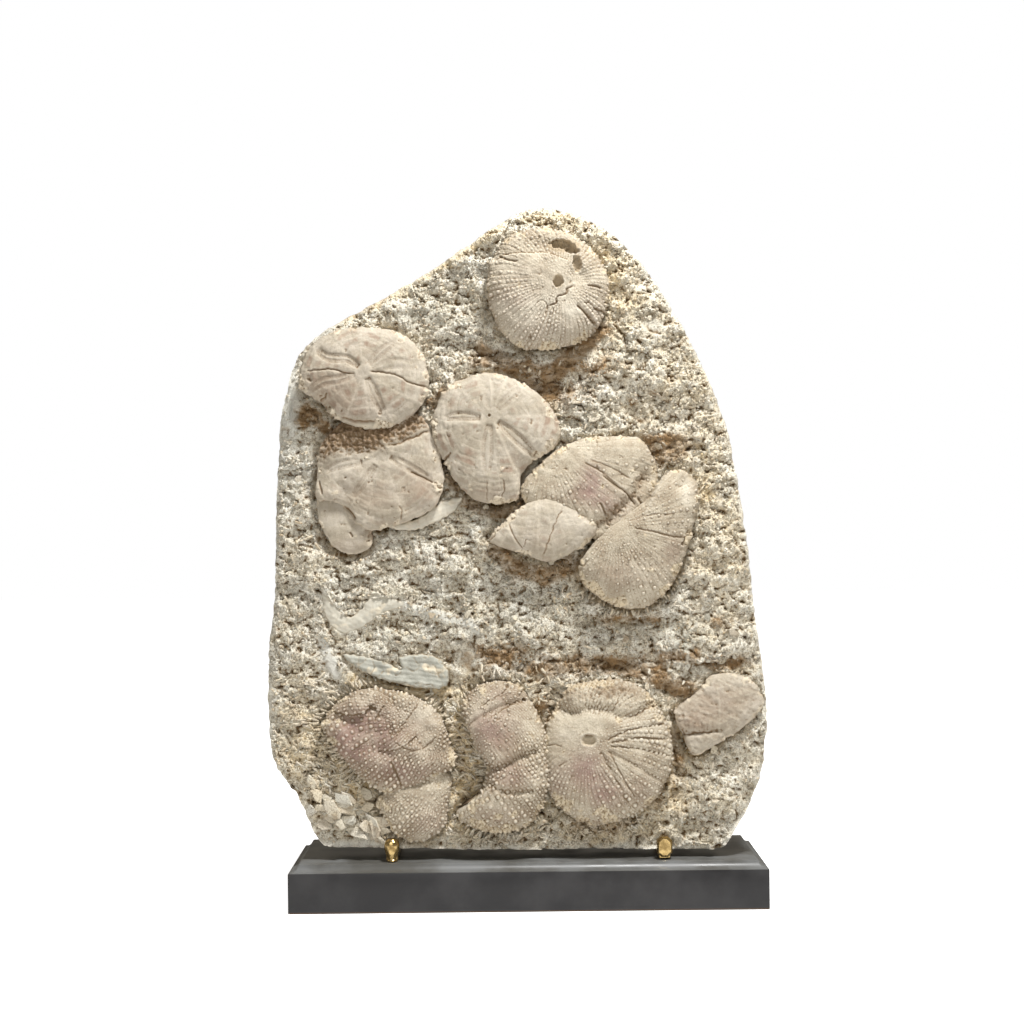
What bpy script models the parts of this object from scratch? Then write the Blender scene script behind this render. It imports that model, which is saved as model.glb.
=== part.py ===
"""Limestone slab with eleven fossil sea urchins and sand dollars, in brass claws on a moulded base.

Metres, +Z up. The origin is the centre of the base's underside, and the slab faces -Y.
"""
import math

import bpy
import bmesh
from mathutils import Matrix, Vector, noise

MM = 0.001
OBJECT_NAME = "fossil_urchin_slab"

# Base
BASE_WIDTH = 375 * MM
BASE_DEPTH = 140 * MM
BASE_WALL_HEIGHT = 31.5 * MM
BASE_HEIGHT = 37.5 * MM
BASE_FILLET = 0.8 * MM
BASE_MOULDING_INSET = 8.4 * MM
BASE_MOULDING_STEPS = 4

# Slab
SLAB_FRONT_Y = -45 * MM
SLAB_BACK_Y = 8 * MM
SLAB_GRID_CELL = 12.5 * MM
SLAB_EDGE_FALL = 5 * MM
SLAB_EDGE_WIDTH = 9 * MM
TRIM_REACH = 30 * MM
SLAB_LUMP = 3.6 * MM
SLAB_OUTLINE = [
    (-166, 55), (-154, 48), (-113, 47), (-22, 45), (147, 44), (158, 54), (179, 83), (189, 120), (191, 160),
    (183, 224), (175, 295), (161, 378), (131, 449), (103, 497), (70, 532), (38, 548), (7, 552), (-25, 536),
    (-57, 513), (-105, 485), (-168, 449), (-188, 410), (-196, 346), (-199, 252), (-205, 192), (-202, 121),
    (-182, 86),
]
# centre x and z, half width, half height, depth: sunk places in the front of the slab
SLAB_HOLLOWS = [
    (115, 361, 22, 12, 7), (68, 186, 34, 9, 9), (159, 193, 26, 8, 7), (-38, 118, 12, 22, 8),
    (22, 418, 40, 13, 9), (22, 165, 14, 13, 8), (-128, 360, 34, 10, 6), (18, 257, 34, 10, 7),
    (84, 222, 34, 11, 8), (-95, 226, 30, 9, 4), (-60, 150, 12, 18, 4), (120, 100, 14, 26, 5),
]
# centre x and z, half width, half height, rise: places where the matrix stands proud
SLAB_SWELLS = [
    (-110, 470, 46, 16, 4), (-175, 300, 20, 60, 3), (-10, 300, 40, 22, 4), (150, 270, 24, 60, 4),
    (90, 440, 40, 40, 4), (-120, 200, 40, 12, 3), (-30, 215, 50, 16, 4), (150, 75, 24, 20, 3),
    (-178, 130, 14, 50, 3), (0, 395, 16, 10, 3),
]

# Claws
CLAW_X = 107 * MM
CLAW_FRONT_Y = -53.5 * MM
CLAW_PAD_RADIUS = 5.6 * MM
CLAW_TOP_Z = 55.6 * MM
CLAW_FACETS = 8
CLAW_ARM_WIDTH = 9 * MM
CLAW_ARM_DEPTH_GAP = 0.6 * MM
CLAW_REAR_THICKNESS = 5 * MM
CLAW_REAR_TOP_Z = 118 * MM

GAP = 0.6 * MM
TEST_BACK_Y = -27 * MM
TEST_BACK_STEP = 0.7 * MM  # each test reaches a little less deep than the one before it
DOME_RINGS = 6
DOME_SQUARENESS = 2.6
SEGMENTS = {"ribs": 24, "petals": 20, "plain": 16}

# Each test: outline points (x, z) in mm, centre of the dome, pole that the meridians leave, rim and dome heights
# in front of the slab's mean face, and its surface: "ribs" for a regular urchin, "petals" for a sand dollar.
# Tests are listed from the foremost to the hindmost, because each is cut by the ones before it.
TESTS = {
    "urchin_top": dict(
        outline=[(-17, 522), (2, 533), (32, 532), (55, 517), (68, 492), (64, 465), (50, 447), (23, 439),
                 (-5, 442), (-23, 464), (-28, 494)],
        pole=(28, 491), rim=5, height=21, surface="ribs", slot="urchin_test",
        dents=[(30, 520, 30, 9, 6), (44, 495, 9, 12, 5), (28, 491, 5, 5, 5)]),
    "sand_dollar_left": dict(
        outline=[(-176, 412), (-169, 439), (-150, 453), (-122, 457), (-94, 451), (-78, 433), (-74, 409),
                 (-86, 389), (-114, 377), (-144, 384), (-160, 399)],
        pole=(-125, 423), rim=12, height=23, surface="petals", slot="sand_dollar_test",
        dents=[(-155, 396, 7, 6, 6)]),
    "sand_dollar_centre": dict(
        outline=[(-55, 413), (-28, 421), (-4, 414), (17, 399), (28, 379), (25, 363), (-1, 343), (-6, 321),
                 (-33, 319), (-52, 333), (-69, 363), (-72, 381), (-66, 402)],
        pole=(-26, 386), rim=7, height=18, surface="petals", slot="sand_dollar_test",
        dents=[(-57, 355, 10, 8, 3)]),
    "sand_dollar_side": dict(
        outline=[(-28, 290), (-14, 306), (4, 319), (21, 323), (40, 315), (55, 303), (56, 294), (43, 282),
                 (19, 272), (-2, 279), (-17, 283)],
        pole=(20, 298), rim=9, height=20, surface="plain", slot="sand_dollar_test", dents=[]),
    "urchin_right": dict(
        outline=[(112, 341), (129, 340), (138, 323), (134, 303), (127, 279), (114, 251), (93, 235), (70, 237),
                 (46, 253), (43, 270), (57, 290), (76, 307), (96, 321)],
        pole=(82, 291), rim=7, height=24, surface="ribs", slot="urchin_test",
        dents=[(124, 332, 10, 8, 4)]),
    "urchin_middle": dict(
        outline=[(20, 356), (43, 367), (68, 370), (92, 367), (104, 346), (103, 326), (88, 300), (66, 286),
                 (40, 296), (8, 312), (-3, 330)],
        pole=(34, 353), rim=6, height=17, surface="ribs", slot="urchin_test",
        dents=[(95, 340, 12, 10, 4)]),
    "sand_dollar_under": dict(
        outline=[(-160, 366), (-163, 340), (-163, 322), (-147, 318), (-133, 304), (-116, 298), (-76, 312),
                 (-64, 332), (-66, 356), (-80, 386), (-112, 390), (-140, 384)],
        pole=(-113, 365), rim=6, height=13, surface="petals", slot="sand_dollar_test",
        dents=[(-140, 330, 10, 8, 3)]),
    "sand_dollar_flap": dict(
        outline=[(-161, 326), (-162, 306), (-152, 287), (-137, 279), (-121, 286), (-122, 302), (-140, 322)],
        pole=(-145, 299), rim=3, height=6, surface="plain", slot="sand_dollar_test", dents=[]),
    "urchin_lower_right": dict(
        outline=[(32, 171), (54, 178), (77, 178), (96, 167), (112, 139), (113, 108), (96, 80), (72, 68),
                 (46, 65), (23, 81), (12, 106), (15, 140)],
        pole=(49, 132), rim=6, height=24, surface="ribs", slot="urchin_test",
        dents=[(32, 158, 16, 14, 8), (80, 158, 26, 8, 5), (49, 132, 5, 5, 5)]),
    "urchin_lower_middle": dict(
        outline=[(-51, 159), (-38, 175), (-16, 179), (-2, 170), (11, 148), (18, 125), (17, 96), (4, 68),
                 (-26, 59), (-50, 67), (-56, 77), (-38, 91), (-32, 109), (-42, 130)],
        pole=(-12, 104), rim=7, height=23, surface="ribs", slot="urchin_test",
        dents=[(-22, 150, 24, 5, 5), (-10, 110, 26, 5, 6)]),
    "urchin_lower_left": dict(
        outline=[(-161, 147), (-143, 167), (-122, 174), (-88, 167), (-69, 152), (-60, 130), (-57, 112),
                 (-76, 103), (-104, 90), (-130, 102), (-151, 127)],
        pole=(-104, 136), rim=5, height=18, surface="ribs", slot="urchin_test",
        dents=[(-142, 156, 12, 8, 6), (-88, 148, 10, 20, 4)]),
    "urchin_lower_left_fragment": dict(
        outline=[(-119, 84), (-104, 99), (-78, 110), (-61, 104), (-62, 82), (-67, 62), (-87, 52), (-105, 59),
                 (-114, 73)],
        pole=(-84, 80), rim=3, height=11, surface="plain", slot="urchin_test", dents=[]),
    "sand_dollar_lower_right": dict(
        outline=[(116, 151), (123, 159), (137, 170), (148, 182), (174, 179), (186, 163), (183, 152), (168, 138),
                 (150, 127), (131, 118), (123, 133)],
        pole=(158, 158), rim=4, height=11, surface="plain", slot="sand_dollar_test",
        dents=[(140, 138, 26, 2, 3)]),
}
# Thin plates set in the slab's front: outline (x, z) and how far they stand proud of its mean face, in mm
PLATES = {
    "shell_crescent": dict(
        outline=[(-108, 301), (-84, 307), (-66, 320), (-50, 323), (-56, 312), (-74, 302), (-92, 297)], proud=4),
    "shell_fragment_grey": dict(
        outline=[(-145, 200), (-116, 196), (-99, 188), (-99, 198), (-72, 198), (-61, 182), (-68, 173),
                 (-94, 175), (-123, 184)], proud=5),
    "shell_fragment_white": dict(
        outline=[(-160, 245), (-154, 244), (-145, 231), (-133, 233), (-124, 243), (-104, 243), (-97, 237),
                 (-118, 231), (-130, 222), (-146, 220), (-157, 228)], proud=4),
}
PLATE_BACK_Y = -39 * MM

RIB_HEIGHT = 1.0 * MM
PETAL_DEPTH = 2.0 * MM
PETAL_COUNT = 5

MATERIALS = {
    "limestone": dict(color=(0.72, 0.64, 0.47), roughness=0.95, metallic=0.0),
    "urchin_test": dict(color=(0.70, 0.60, 0.46), roughness=0.85, metallic=0.0),
    "sand_dollar_test": dict(color=(0.62, 0.53, 0.42), roughness=0.8, metallic=0.0),
    "shell": dict(color=(0.55, 0.54, 0.50), roughness=0.6, metallic=0.0),
    "ebonised_wood": dict(color=(0.035, 0.034, 0.036), roughness=0.45, metallic=0.0),
    "brass": dict(color=(0.80, 0.62, 0.25), roughness=0.25, metallic=1.0),
}


def clear_scene():
    for obj in list(bpy.data.objects):
        bpy.data.objects.remove(obj, do_unlink=True)


def make_collection(name):
    collection = bpy.data.collections.new(name)
    bpy.context.scene.collection.children.link(collection)
    return collection


def make_material(name, color, roughness, metallic):
    material = bpy.data.materials.new(name)
    material.use_nodes = True
    shader = material.node_tree.nodes["Principled BSDF"]
    shader.inputs["Base Color"].default_value = (*color, 1)
    shader.inputs["Roughness"].default_value = roughness
    shader.inputs["Metallic"].default_value = metallic
    return material


def turn_outwards(bm):
    bmesh.ops.recalc_face_normals(bm, faces=bm.faces)
    if bm.calc_volume(signed=True) < 0:
        bmesh.ops.reverse_faces(bm, faces=bm.faces)


def object_from_bmesh(name, bm, collection, material=None):
    mesh = bpy.data.meshes.new(name)
    bm.to_mesh(mesh)
    bm.free()
    obj = bpy.data.objects.new(name, mesh)
    collection.objects.link(obj)
    if material:
        mesh.materials.append(material)
    return obj


def mark_as_cutter(obj):
    obj.hide_render = True
    obj.display_type = "WIRE"
    return obj


def add_boolean(obj, operation, other):
    modifier = obj.modifiers.new(f"{operation.lower()}_{other.name}", "BOOLEAN")
    modifier.operation = operation
    modifier.object = other
    modifier.solver = "EXACT"


def smooth_closed_curve(points, steps):
    """Closed Catmull-Rom curve through the points, with the given number of steps between each two."""
    curve = []
    count = len(points)
    for index in range(count):
        before, start, end, after = (Vector(points[(index + offset) % count]) for offset in (-1, 0, 1, 2))
        for step in range(steps):
            t = step / steps
            curve.append(0.5 * (2 * start + (end - before) * t
                                + (2 * before - 5 * start + 4 * end - after) * t ** 2
                                + (3 * start - before - 3 * end + after) * t ** 3))
    return curve


def closed_distance(point, curve):
    """Distance from a point to the nearest edge of a closed polyline."""
    nearest = math.inf
    for index, start in enumerate(curve):
        edge = curve[(index + 1) % len(curve)] - start
        along = max(0, min(1, (point - start).dot(edge) / edge.length_squared))
        nearest = min(nearest, (point - start - along * edge).length)
    return nearest


def ray_length(origin, direction, curve):
    """Distance from the origin to the farthest crossing of the curve along the direction."""
    farthest = 0
    for index, start in enumerate(curve):
        edge = curve[(index + 1) % len(curve)] - start
        cross = direction.x * edge.y - direction.y * edge.x
        if abs(cross) < 1e-12:
            continue
        gap = start - origin
        along_ray = (gap.x * edge.y - gap.y * edge.x) / cross
        along_edge = (gap.x * direction.y - gap.y * direction.x) / cross
        if 0 <= along_edge <= 1:
            farthest = max(farthest, along_ray)
    return farthest


def oval_bumps(point, ovals):
    """Sum of smooth bumps, each an oval (centre x, centre z, half width, half height, size) in mm."""
    total = 0
    for x, z, half_width, half_height, size in ovals:
        squared = ((point.x / MM - x) / half_width) ** 2 + ((point.y / MM - z) / half_height) ** 2
        total += size * MM * math.exp(-squared)
    return total


def build_base(collection, material):
    """A box whose top steps inwards through a small fillet and a hollow moulding to a raised flat."""
    bm = bmesh.new()
    bmesh.ops.create_cube(bm, size=1)
    bmesh.ops.scale(bm, vec=(BASE_WIDTH, BASE_DEPTH, BASE_WALL_HEIGHT), verts=bm.verts)
    bmesh.ops.translate(bm, vec=(0, 0, BASE_WALL_HEIGHT / 2), verts=bm.verts)
    bm.faces.ensure_lookup_table()
    top = max(bm.faces, key=lambda face: face.calc_center_median().z)
    bmesh.ops.inset_region(bm, faces=[top], thickness=BASE_FILLET, depth=0)
    inset_done = 0
    rise_done = 0
    moulding_rise = BASE_HEIGHT - BASE_WALL_HEIGHT
    for step in range(1, BASE_MOULDING_STEPS + 1):
        angle = math.pi / 2 * step / BASE_MOULDING_STEPS
        inset = (BASE_MOULDING_INSET - BASE_FILLET) * math.sin(angle)
        rise = moulding_rise * (1 - math.cos(angle))
        bmesh.ops.inset_region(bm, faces=[top], thickness=inset - inset_done, depth=rise - rise_done,
                               use_even_offset=True)
        inset_done = inset
        rise_done = rise
    return object_from_bmesh("base", bm, collection, material)


def build_claw(name, x, pad_profile, collection, cutters, material):
    """A bracket: a faceted turned claw in front, a flat arm under the slab and an upright behind it."""
    arm_bottom = BASE_HEIGHT + GAP
    arm_top = min(z for _, z in SLAB_OUTLINE) * MM - CLAW_ARM_DEPTH_GAP
    rear_front = SLAB_BACK_Y + CLAW_ARM_DEPTH_GAP
    rear_back = rear_front + CLAW_REAR_THICKNESS

    def box(part_name, y_front, y_back, z_bottom, z_top):
        bm = bmesh.new()
        bmesh.ops.create_cube(bm, size=1)
        bmesh.ops.scale(bm, vec=(CLAW_ARM_WIDTH, y_back - y_front, z_top - z_bottom), verts=bm.verts)
        centre = (x, (y_front + y_back) / 2, (z_bottom + z_top) / 2)
        bmesh.ops.translate(bm, vec=centre, verts=bm.verts)
        return bm, part_name

    arm_bm, _ = box(name, CLAW_FRONT_Y, rear_back, arm_bottom, arm_top)
    claw = object_from_bmesh(name, arm_bm, collection, material)
    rear_bm, rear_name = box(name + "_rear", rear_front, rear_back, arm_bottom, CLAW_REAR_TOP_Z)
    rear = object_from_bmesh(rear_name, rear_bm, cutters)

    bm = bmesh.new()
    verts = [bm.verts.new((radius, 0, z)) for radius, z in pad_profile]
    for start, end in zip(verts, verts[1:]):
        bm.edges.new((start, end))
    pad = object_from_bmesh(name + "_pad", bm, cutters)
    screw = pad.modifiers.new("turn", "SCREW")
    screw.steps = CLAW_FACETS
    screw.render_steps = CLAW_FACETS
    screw.use_merge_vertices = True
    screw.merge_threshold = 0.00001
    pad.location = (x, CLAW_FRONT_Y, 0)
    pad.rotation_euler.z = math.pi / CLAW_FACETS
    for helper in (rear, pad):
        add_boolean(claw, "UNION", mark_as_cutter(helper))
    return claw


def front_of_matrix(point, outline):
    """Y of the slab's rough front at a point (x, z): mounds and hollows, falling away at the edge."""
    coarse = noise.noise(Vector((point.x * 28, 0, point.y * 28)))
    fine = noise.noise(Vector((point.x * 75, 5, point.y * 75)))
    proud = SLAB_LUMP * (coarse + 0.6 * fine)
    proud += oval_bumps(point, SLAB_SWELLS) - oval_bumps(point, SLAB_HOLLOWS)
    edge = min(1, closed_distance(point, outline) / SLAB_EDGE_WIDTH)
    proud -= SLAB_EDGE_FALL * (1 - edge) ** 2
    return SLAB_FRONT_Y - proud


def build_matrix(collection, cutters, material):
    """The slab: a grid pushed into the rough front, drawn back to a flat rear face and trimmed to its outline."""
    outline = smooth_closed_curve([Vector(point) * MM for point in SLAB_OUTLINE], 3)
    low = Vector((min(p.x for p in outline), min(p.y for p in outline)))
    high = Vector((max(p.x for p in outline), max(p.y for p in outline)))
    size = high - low
    columns = math.ceil(size.x / SLAB_GRID_CELL)
    rows = math.ceil(size.y / SLAB_GRID_CELL)
    margin = SLAB_GRID_CELL / 2

    bm = bmesh.new()
    bmesh.ops.create_grid(bm, x_segments=columns, y_segments=rows, size=0.5)
    for vert in bm.verts:
        point = Vector((low.x - margin + (vert.co.x + 0.5) * (size.x + 2 * margin),
                        low.y - margin + (vert.co.y + 0.5) * (size.y + 2 * margin)))
        vert.co = (point.x, front_of_matrix(point, outline), point.y)
    rim = [edge for edge in bm.edges if edge.is_boundary]
    drawn = bmesh.ops.extrude_edge_only(bm, edges=rim)["geom"]
    back_verts = [item for item in drawn if isinstance(item, bmesh.types.BMVert)]
    for vert in back_verts:
        vert.co.y = SLAB_BACK_Y
    back_edges = [item for item in drawn if isinstance(item, bmesh.types.BMEdge) and item.is_boundary]
    bmesh.ops.contextual_create(bm, geom=back_edges)
    turn_outwards(bm)
    matrix = object_from_bmesh("matrix", bm, collection, material)

    trim = build_plate("matrix_trim", outline, SLAB_FRONT_Y - TRIM_REACH, SLAB_BACK_Y + TRIM_REACH, cutters)
    add_boolean(matrix, "INTERSECT", mark_as_cutter(trim))
    return matrix


def build_plate(name, outline, y_front, y_back, collection, material=None):
    """A closed outline in X and Z, drawn out along Y."""
    curve = bpy.data.curves.new(name, "CURVE")
    curve.dimensions = "2D"
    curve.fill_mode = "BOTH"
    curve.extrude = (y_back - y_front) / 2
    spline = curve.splines.new("POLY")
    spline.points.add(len(outline) - 1)
    for spline_point, point in zip(spline.points, outline):
        spline_point.co = (point.x, point.y, 0, 1)
    spline.use_cyclic_u = True
    guide = bpy.data.objects.new(name + "_curve", curve)
    bpy.context.scene.collection.objects.link(guide)
    bpy.context.view_layer.update()

    evaluated = guide.evaluated_get(bpy.context.evaluated_depsgraph_get())
    bm = bmesh.new()
    bm.from_mesh(bpy.data.meshes.new_from_object(evaluated))
    bmesh.ops.remove_doubles(bm, verts=bm.verts, dist=0.01 * MM)
    bmesh.ops.rotate(bm, matrix=Matrix.Rotation(math.pi / 2, 3, "X"), verts=bm.verts)
    bmesh.ops.translate(bm, vec=(0, (y_front + y_back) / 2, 0), verts=bm.verts)
    turn_outwards(bm)
    bpy.data.objects.remove(guide, do_unlink=True)
    return object_from_bmesh(name, bm, collection, material)


def spaced_points(curve, count):
    """Points at equal steps along a closed polyline."""
    lengths = [(curve[(index + 1) % len(curve)] - point).length for index, point in enumerate(curve)]
    step = sum(lengths) / count
    points = []
    travelled = 0
    for index, length in enumerate(lengths):
        while len(points) < count and len(points) * step <= travelled + length:
            along = (len(points) * step - travelled) / length
            points.append(curve[index].lerp(curve[(index + 1) % len(curve)], along))
        travelled += length
    return points


def relief_height(kind, segment):
    """Relief along a meridian: every other one a ridge on a regular urchin, five sunk petals on a sand dollar."""
    if kind == "ribs":
        return RIB_HEIGHT * (1 if segment % 2 == 0 else -1)
    if kind == "petals" and segment % (SEGMENTS["petals"] // PETAL_COUNT) == 0:
        return -PETAL_DEPTH
    return 0


def build_test(name, spec, back_y, collection, material):
    """One fossil: a sphere whose meridians run from the pole to the outline, domed in front and flat behind."""
    outline = smooth_closed_curve([Vector(point) * MM for point in spec["outline"]], 6)
    centre = sum(outline, Vector((0, 0))) / len(outline)
    pole = Vector(spec["pole"]) * MM
    segments = SEGMENTS[spec["surface"]]
    rim_points = spaced_points(outline, segments)
    rim_y = SLAB_FRONT_Y - spec["rim"] * MM
    rise = (spec["height"] - spec["rim"]) * MM

    bm = bmesh.new()
    bmesh.ops.create_uvsphere(bm, u_segments=segments, v_segments=2 * DOME_RINGS, radius=1)
    for vert in bm.verts:
        segment = round(math.atan2(vert.co.y, vert.co.x) / math.tau * segments) % segments
        ring = math.acos(max(-1, min(1, vert.co.z))) / (math.pi / 2) * DOME_RINGS
        if ring < DOME_RINGS + 0.5:
            spread = math.sin(math.pi / 2 * min(1, ring / DOME_RINGS))
        else:
            spread = (2 * DOME_RINGS - ring) / (DOME_RINGS - 1)
        point = pole.lerp(rim_points[segment], spread)
        if ring < DOME_RINGS + 0.5:
            from_centre = point - centre
            edge_distance = max(from_centre.length, ray_length(centre, from_centre.normalized(), outline))
            reach = from_centre.length / edge_distance if edge_distance else 0
            dome = rise * math.sqrt(1 - reach ** DOME_SQUARENESS)
            relief = relief_height(spec["surface"], segment) * min(1, 2 * spread) * (1 - spread ** 8)
            dent = min(oval_bumps(point, spec["dents"]), dome + 1.5 * MM)
            y = rim_y - dome - relief + dent
        else:
            y = back_y
        vert.co = (point.x, y, point.y)
    bm.normal_update()
    bmesh.ops.dissolve_limit(bm, angle_limit=math.radians(0.5), verts=bm.verts, edges=bm.edges)
    turn_outwards(bm)
    return object_from_bmesh(name, bm, collection, material)


def build_socket(piece, cutters):
    """A cutter in the shape of a piece, larger all round by the gap."""
    socket = bpy.data.objects.new(piece.name + "_socket", piece.data)
    cutters.objects.link(socket)
    grow = socket.modifiers.new("grow", "DISPLACE")
    grow.mid_level = 0
    grow.strength = GAP
    return mark_as_cutter(socket)


def build_fossils(matrix, collection, cutters, materials):
    """Every test and plate, each cut by the ones in front of it, and a socket for each in the matrix."""
    pieces = []
    for order, (name, spec) in enumerate(TESTS.items()):
        back_y = TEST_BACK_Y - order * TEST_BACK_STEP
        pieces.append(build_test(name, spec, back_y, collection, materials[spec["slot"]]))
    for name, spec in PLATES.items():
        outline = smooth_closed_curve([Vector(point) * MM for point in spec["outline"]], 2)
        y_front = SLAB_FRONT_Y - spec["proud"] * MM
        pieces.append(build_plate(name, outline, y_front, PLATE_BACK_Y, collection, materials["shell"]))

    sockets = []
    for piece in pieces:
        for socket in sockets:
            add_boolean(piece, "DIFFERENCE", socket)
        sockets.append(build_socket(piece, cutters))
        add_boolean(matrix, "DIFFERENCE", sockets[-1])


def main():
    clear_scene()
    parts = make_collection(OBJECT_NAME)
    cutters = make_collection("cutters")
    materials = {name: make_material(name, **look) for name, look in MATERIALS.items()}

    build_base(parts, materials["ebonised_wood"])
    foot = BASE_HEIGHT + GAP
    pad_left = [(0.0, CLAW_TOP_Z), (0.45 * CLAW_PAD_RADIUS, CLAW_TOP_Z),
                (CLAW_PAD_RADIUS, CLAW_TOP_Z - 3.5 * MM), (CLAW_PAD_RADIUS, CLAW_TOP_Z - 8 * MM),
                (0.6 * CLAW_PAD_RADIUS, foot + 3 * MM), (0.6 * CLAW_PAD_RADIUS, foot), (0.0, foot)]
    pad_right = [(0.0, CLAW_TOP_Z), (0.75 * CLAW_PAD_RADIUS, CLAW_TOP_Z),
                 (CLAW_PAD_RADIUS, CLAW_TOP_Z - 2.5 * MM), (CLAW_PAD_RADIUS, foot + 4 * MM),
                 (0.75 * CLAW_PAD_RADIUS, foot + 1 * MM), (0.75 * CLAW_PAD_RADIUS, foot), (0.0, foot)]
    build_claw("claw_left", -CLAW_X, pad_left, parts, cutters, materials["brass"])
    build_claw("claw_right", CLAW_X, pad_right, parts, cutters, materials["brass"])
    matrix = build_matrix(parts, cutters, materials["limestone"])
    build_fossils(matrix, parts, cutters, materials)


main()
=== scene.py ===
import math

import bmesh
import bpy
import numpy as np
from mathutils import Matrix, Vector
from mathutils.geometry import delaunay_2d_cdt
from mathutils.kdtree import KDTree


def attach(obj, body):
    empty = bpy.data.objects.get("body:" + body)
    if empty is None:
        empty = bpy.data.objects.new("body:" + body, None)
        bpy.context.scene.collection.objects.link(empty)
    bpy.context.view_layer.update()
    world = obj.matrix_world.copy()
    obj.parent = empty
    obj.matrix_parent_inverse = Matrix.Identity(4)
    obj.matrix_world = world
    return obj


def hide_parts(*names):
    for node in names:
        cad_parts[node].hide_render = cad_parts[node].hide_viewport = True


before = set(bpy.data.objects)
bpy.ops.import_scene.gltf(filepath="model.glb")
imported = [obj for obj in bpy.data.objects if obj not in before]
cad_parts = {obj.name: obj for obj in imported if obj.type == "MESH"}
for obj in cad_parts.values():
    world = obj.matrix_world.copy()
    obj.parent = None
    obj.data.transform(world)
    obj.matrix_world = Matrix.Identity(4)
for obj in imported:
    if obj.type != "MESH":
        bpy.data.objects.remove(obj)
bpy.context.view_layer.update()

mm = 0.001
fullTurn = 2 * math.pi

# Points on the slab are (x, z) in mm from the middle of the plinth's foot.
# Heights are mm in front of the slab's mean face, which is this far from the middle.
meanFaceY = -45


# Repeatable value from 0 to 1 for each whole-number cell
def cellValue(ix, iz, seed):
    n = (ix * 374761393 + iz * 668265263 + seed * 974634777) & 0xFFFFFFFF
    n = ((n ^ (n >> 13)) * 1274126177) & 0xFFFFFFFF
    n = ((n ^ (n >> 16)) * 1103515245) & 0xFFFFFFFF
    return (n >> 8) / 16777215.0


# Places in cells of one size, and the cell that each lies in
def cellsOf(x, z, size):
    u = x / size
    v = z / size
    return u, v, np.floor(u).astype(np.int64), np.floor(v).astype(np.int64)


# Smooth noise from about -1 to 1, with swells of the given size in mm
def waveNoise(x, z, size, seed):
    u, v, iu, iv = cellsOf(x, z, size)
    fu = u - iu
    fv = v - iv
    easeU = fu * fu * fu * (fu * (fu * 6 - 15) + 10)
    easeV = fv * fv * fv * (fv * (fv * 6 - 15) + 10)
    total = 0
    for du in (0, 1):
        for dv in (0, 1):
            angle = cellValue(iu + du, iv + dv, seed) * fullTurn
            slope = np.cos(angle) * (fu - du) + np.sin(angle) * (fv - dv)
            weight = (easeU if du else 1 - easeU) * (easeV if dv else 1 - easeV)
            total = total + weight * slope
    return total * 1.5


# Several sizes of smooth noise together, each half the size and strength of the last
def roughNoise(x, z, size, octaves, seed):
    total = 0
    for octave in range(octaves):
        total = total + waveNoise(x, z, size / 2 ** octave, seed + octave) / 2 ** octave
    return total


# Broken crumbs: the value and the tilted face of the nearest crumb
def crumbCells(x, z, size, seed):
    u, v, iu, iv = cellsOf(x, z, size)
    nearest = np.full(u.shape, 9.0)
    value = np.zeros(u.shape)
    tilt = np.zeros(u.shape)
    for du in (-1, 0, 1):
        for dv in (-1, 0, 1):
            cu = iu + du
            cv = iv + dv
            cell = [cellValue(cu, cv, seed + step) for step in range(5)]
            offU = u - cu - 0.1 - 0.8 * cell[0]
            offV = v - cv - 0.1 - 0.8 * cell[1]
            distance = np.hypot(offU, offV)
            closer = distance < nearest
            value = np.where(closer, cell[2], value)
            tilt = np.where(closer, 2 * (cell[3] - 0.5) * offU + 2 * (cell[4] - 0.5) * offV, tilt)
            nearest = np.where(closer, distance, nearest)
    return value, tilt


def smoothStep(low, high, value):
    t = np.clip((value - low) / (high - low), 0, 1)
    return t * t * (3 - 2 * t)


# Sum of soft oval mounds, each (x, z, half width, half height, rise)
def ovalMounds(x, z, ovals):
    total = np.zeros(np.shape(x))
    for cx, cz, halfWidth, halfHeight, rise in ovals:
        total = total + rise * np.exp(-1.6 * (((x - cx) / halfWidth) ** 2 + ((z - cz) / halfHeight) ** 2))
    return total


def curvePoint(before, start, end, after, t):
    return 0.5 * (2 * start + (end - before) * t + (2 * before - 5 * start + 4 * end - after) * t ** 2
                  + (3 * start - before - 3 * end + after) * t ** 3)


# How far along a run of points each one lies, from the steps between them
def walkedOver(stepX, stepZ):
    return np.concatenate([[0], np.cumsum(np.hypot(stepX, stepZ))])


# Points an even distance apart along a run of points
def evenlySpaced(points, spacing):
    walked = walkedOver(*np.diff(points, axis=0).T)
    count = max(2, int(round(walked[-1] / spacing)))
    at = np.linspace(0, walked[-1], count + 1)
    return np.stack([np.interp(at, walked, points[:, 0]), np.interp(at, walked, points[:, 1])], axis=1)


# Smooth curve through the points, closed or open
def smoothCurve(points, spacing, closed=True):
    points = np.array(points, float)
    if len(points) < 3:
        return evenlySpaced(points, spacing)
    t = np.linspace(0, 1, 16, endpoint=False)[:, None]
    stretches = []
    count = len(points)
    for i in range(count if closed else count - 1):
        before = points[i - 1] if closed or i else 2 * points[0] - points[1]
        end = points[(i + 1) % count]
        after = points[(i + 2) % count] if closed or i + 2 < count else 2 * points[-1] - points[-2]
        stretches.append(curvePoint(before, points[i], end, after, t))
    stretches.append(points[:1] if closed else points[-1:])
    curve = evenlySpaced(np.concatenate(stretches), spacing)
    return curve[:-1] if closed else curve


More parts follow.
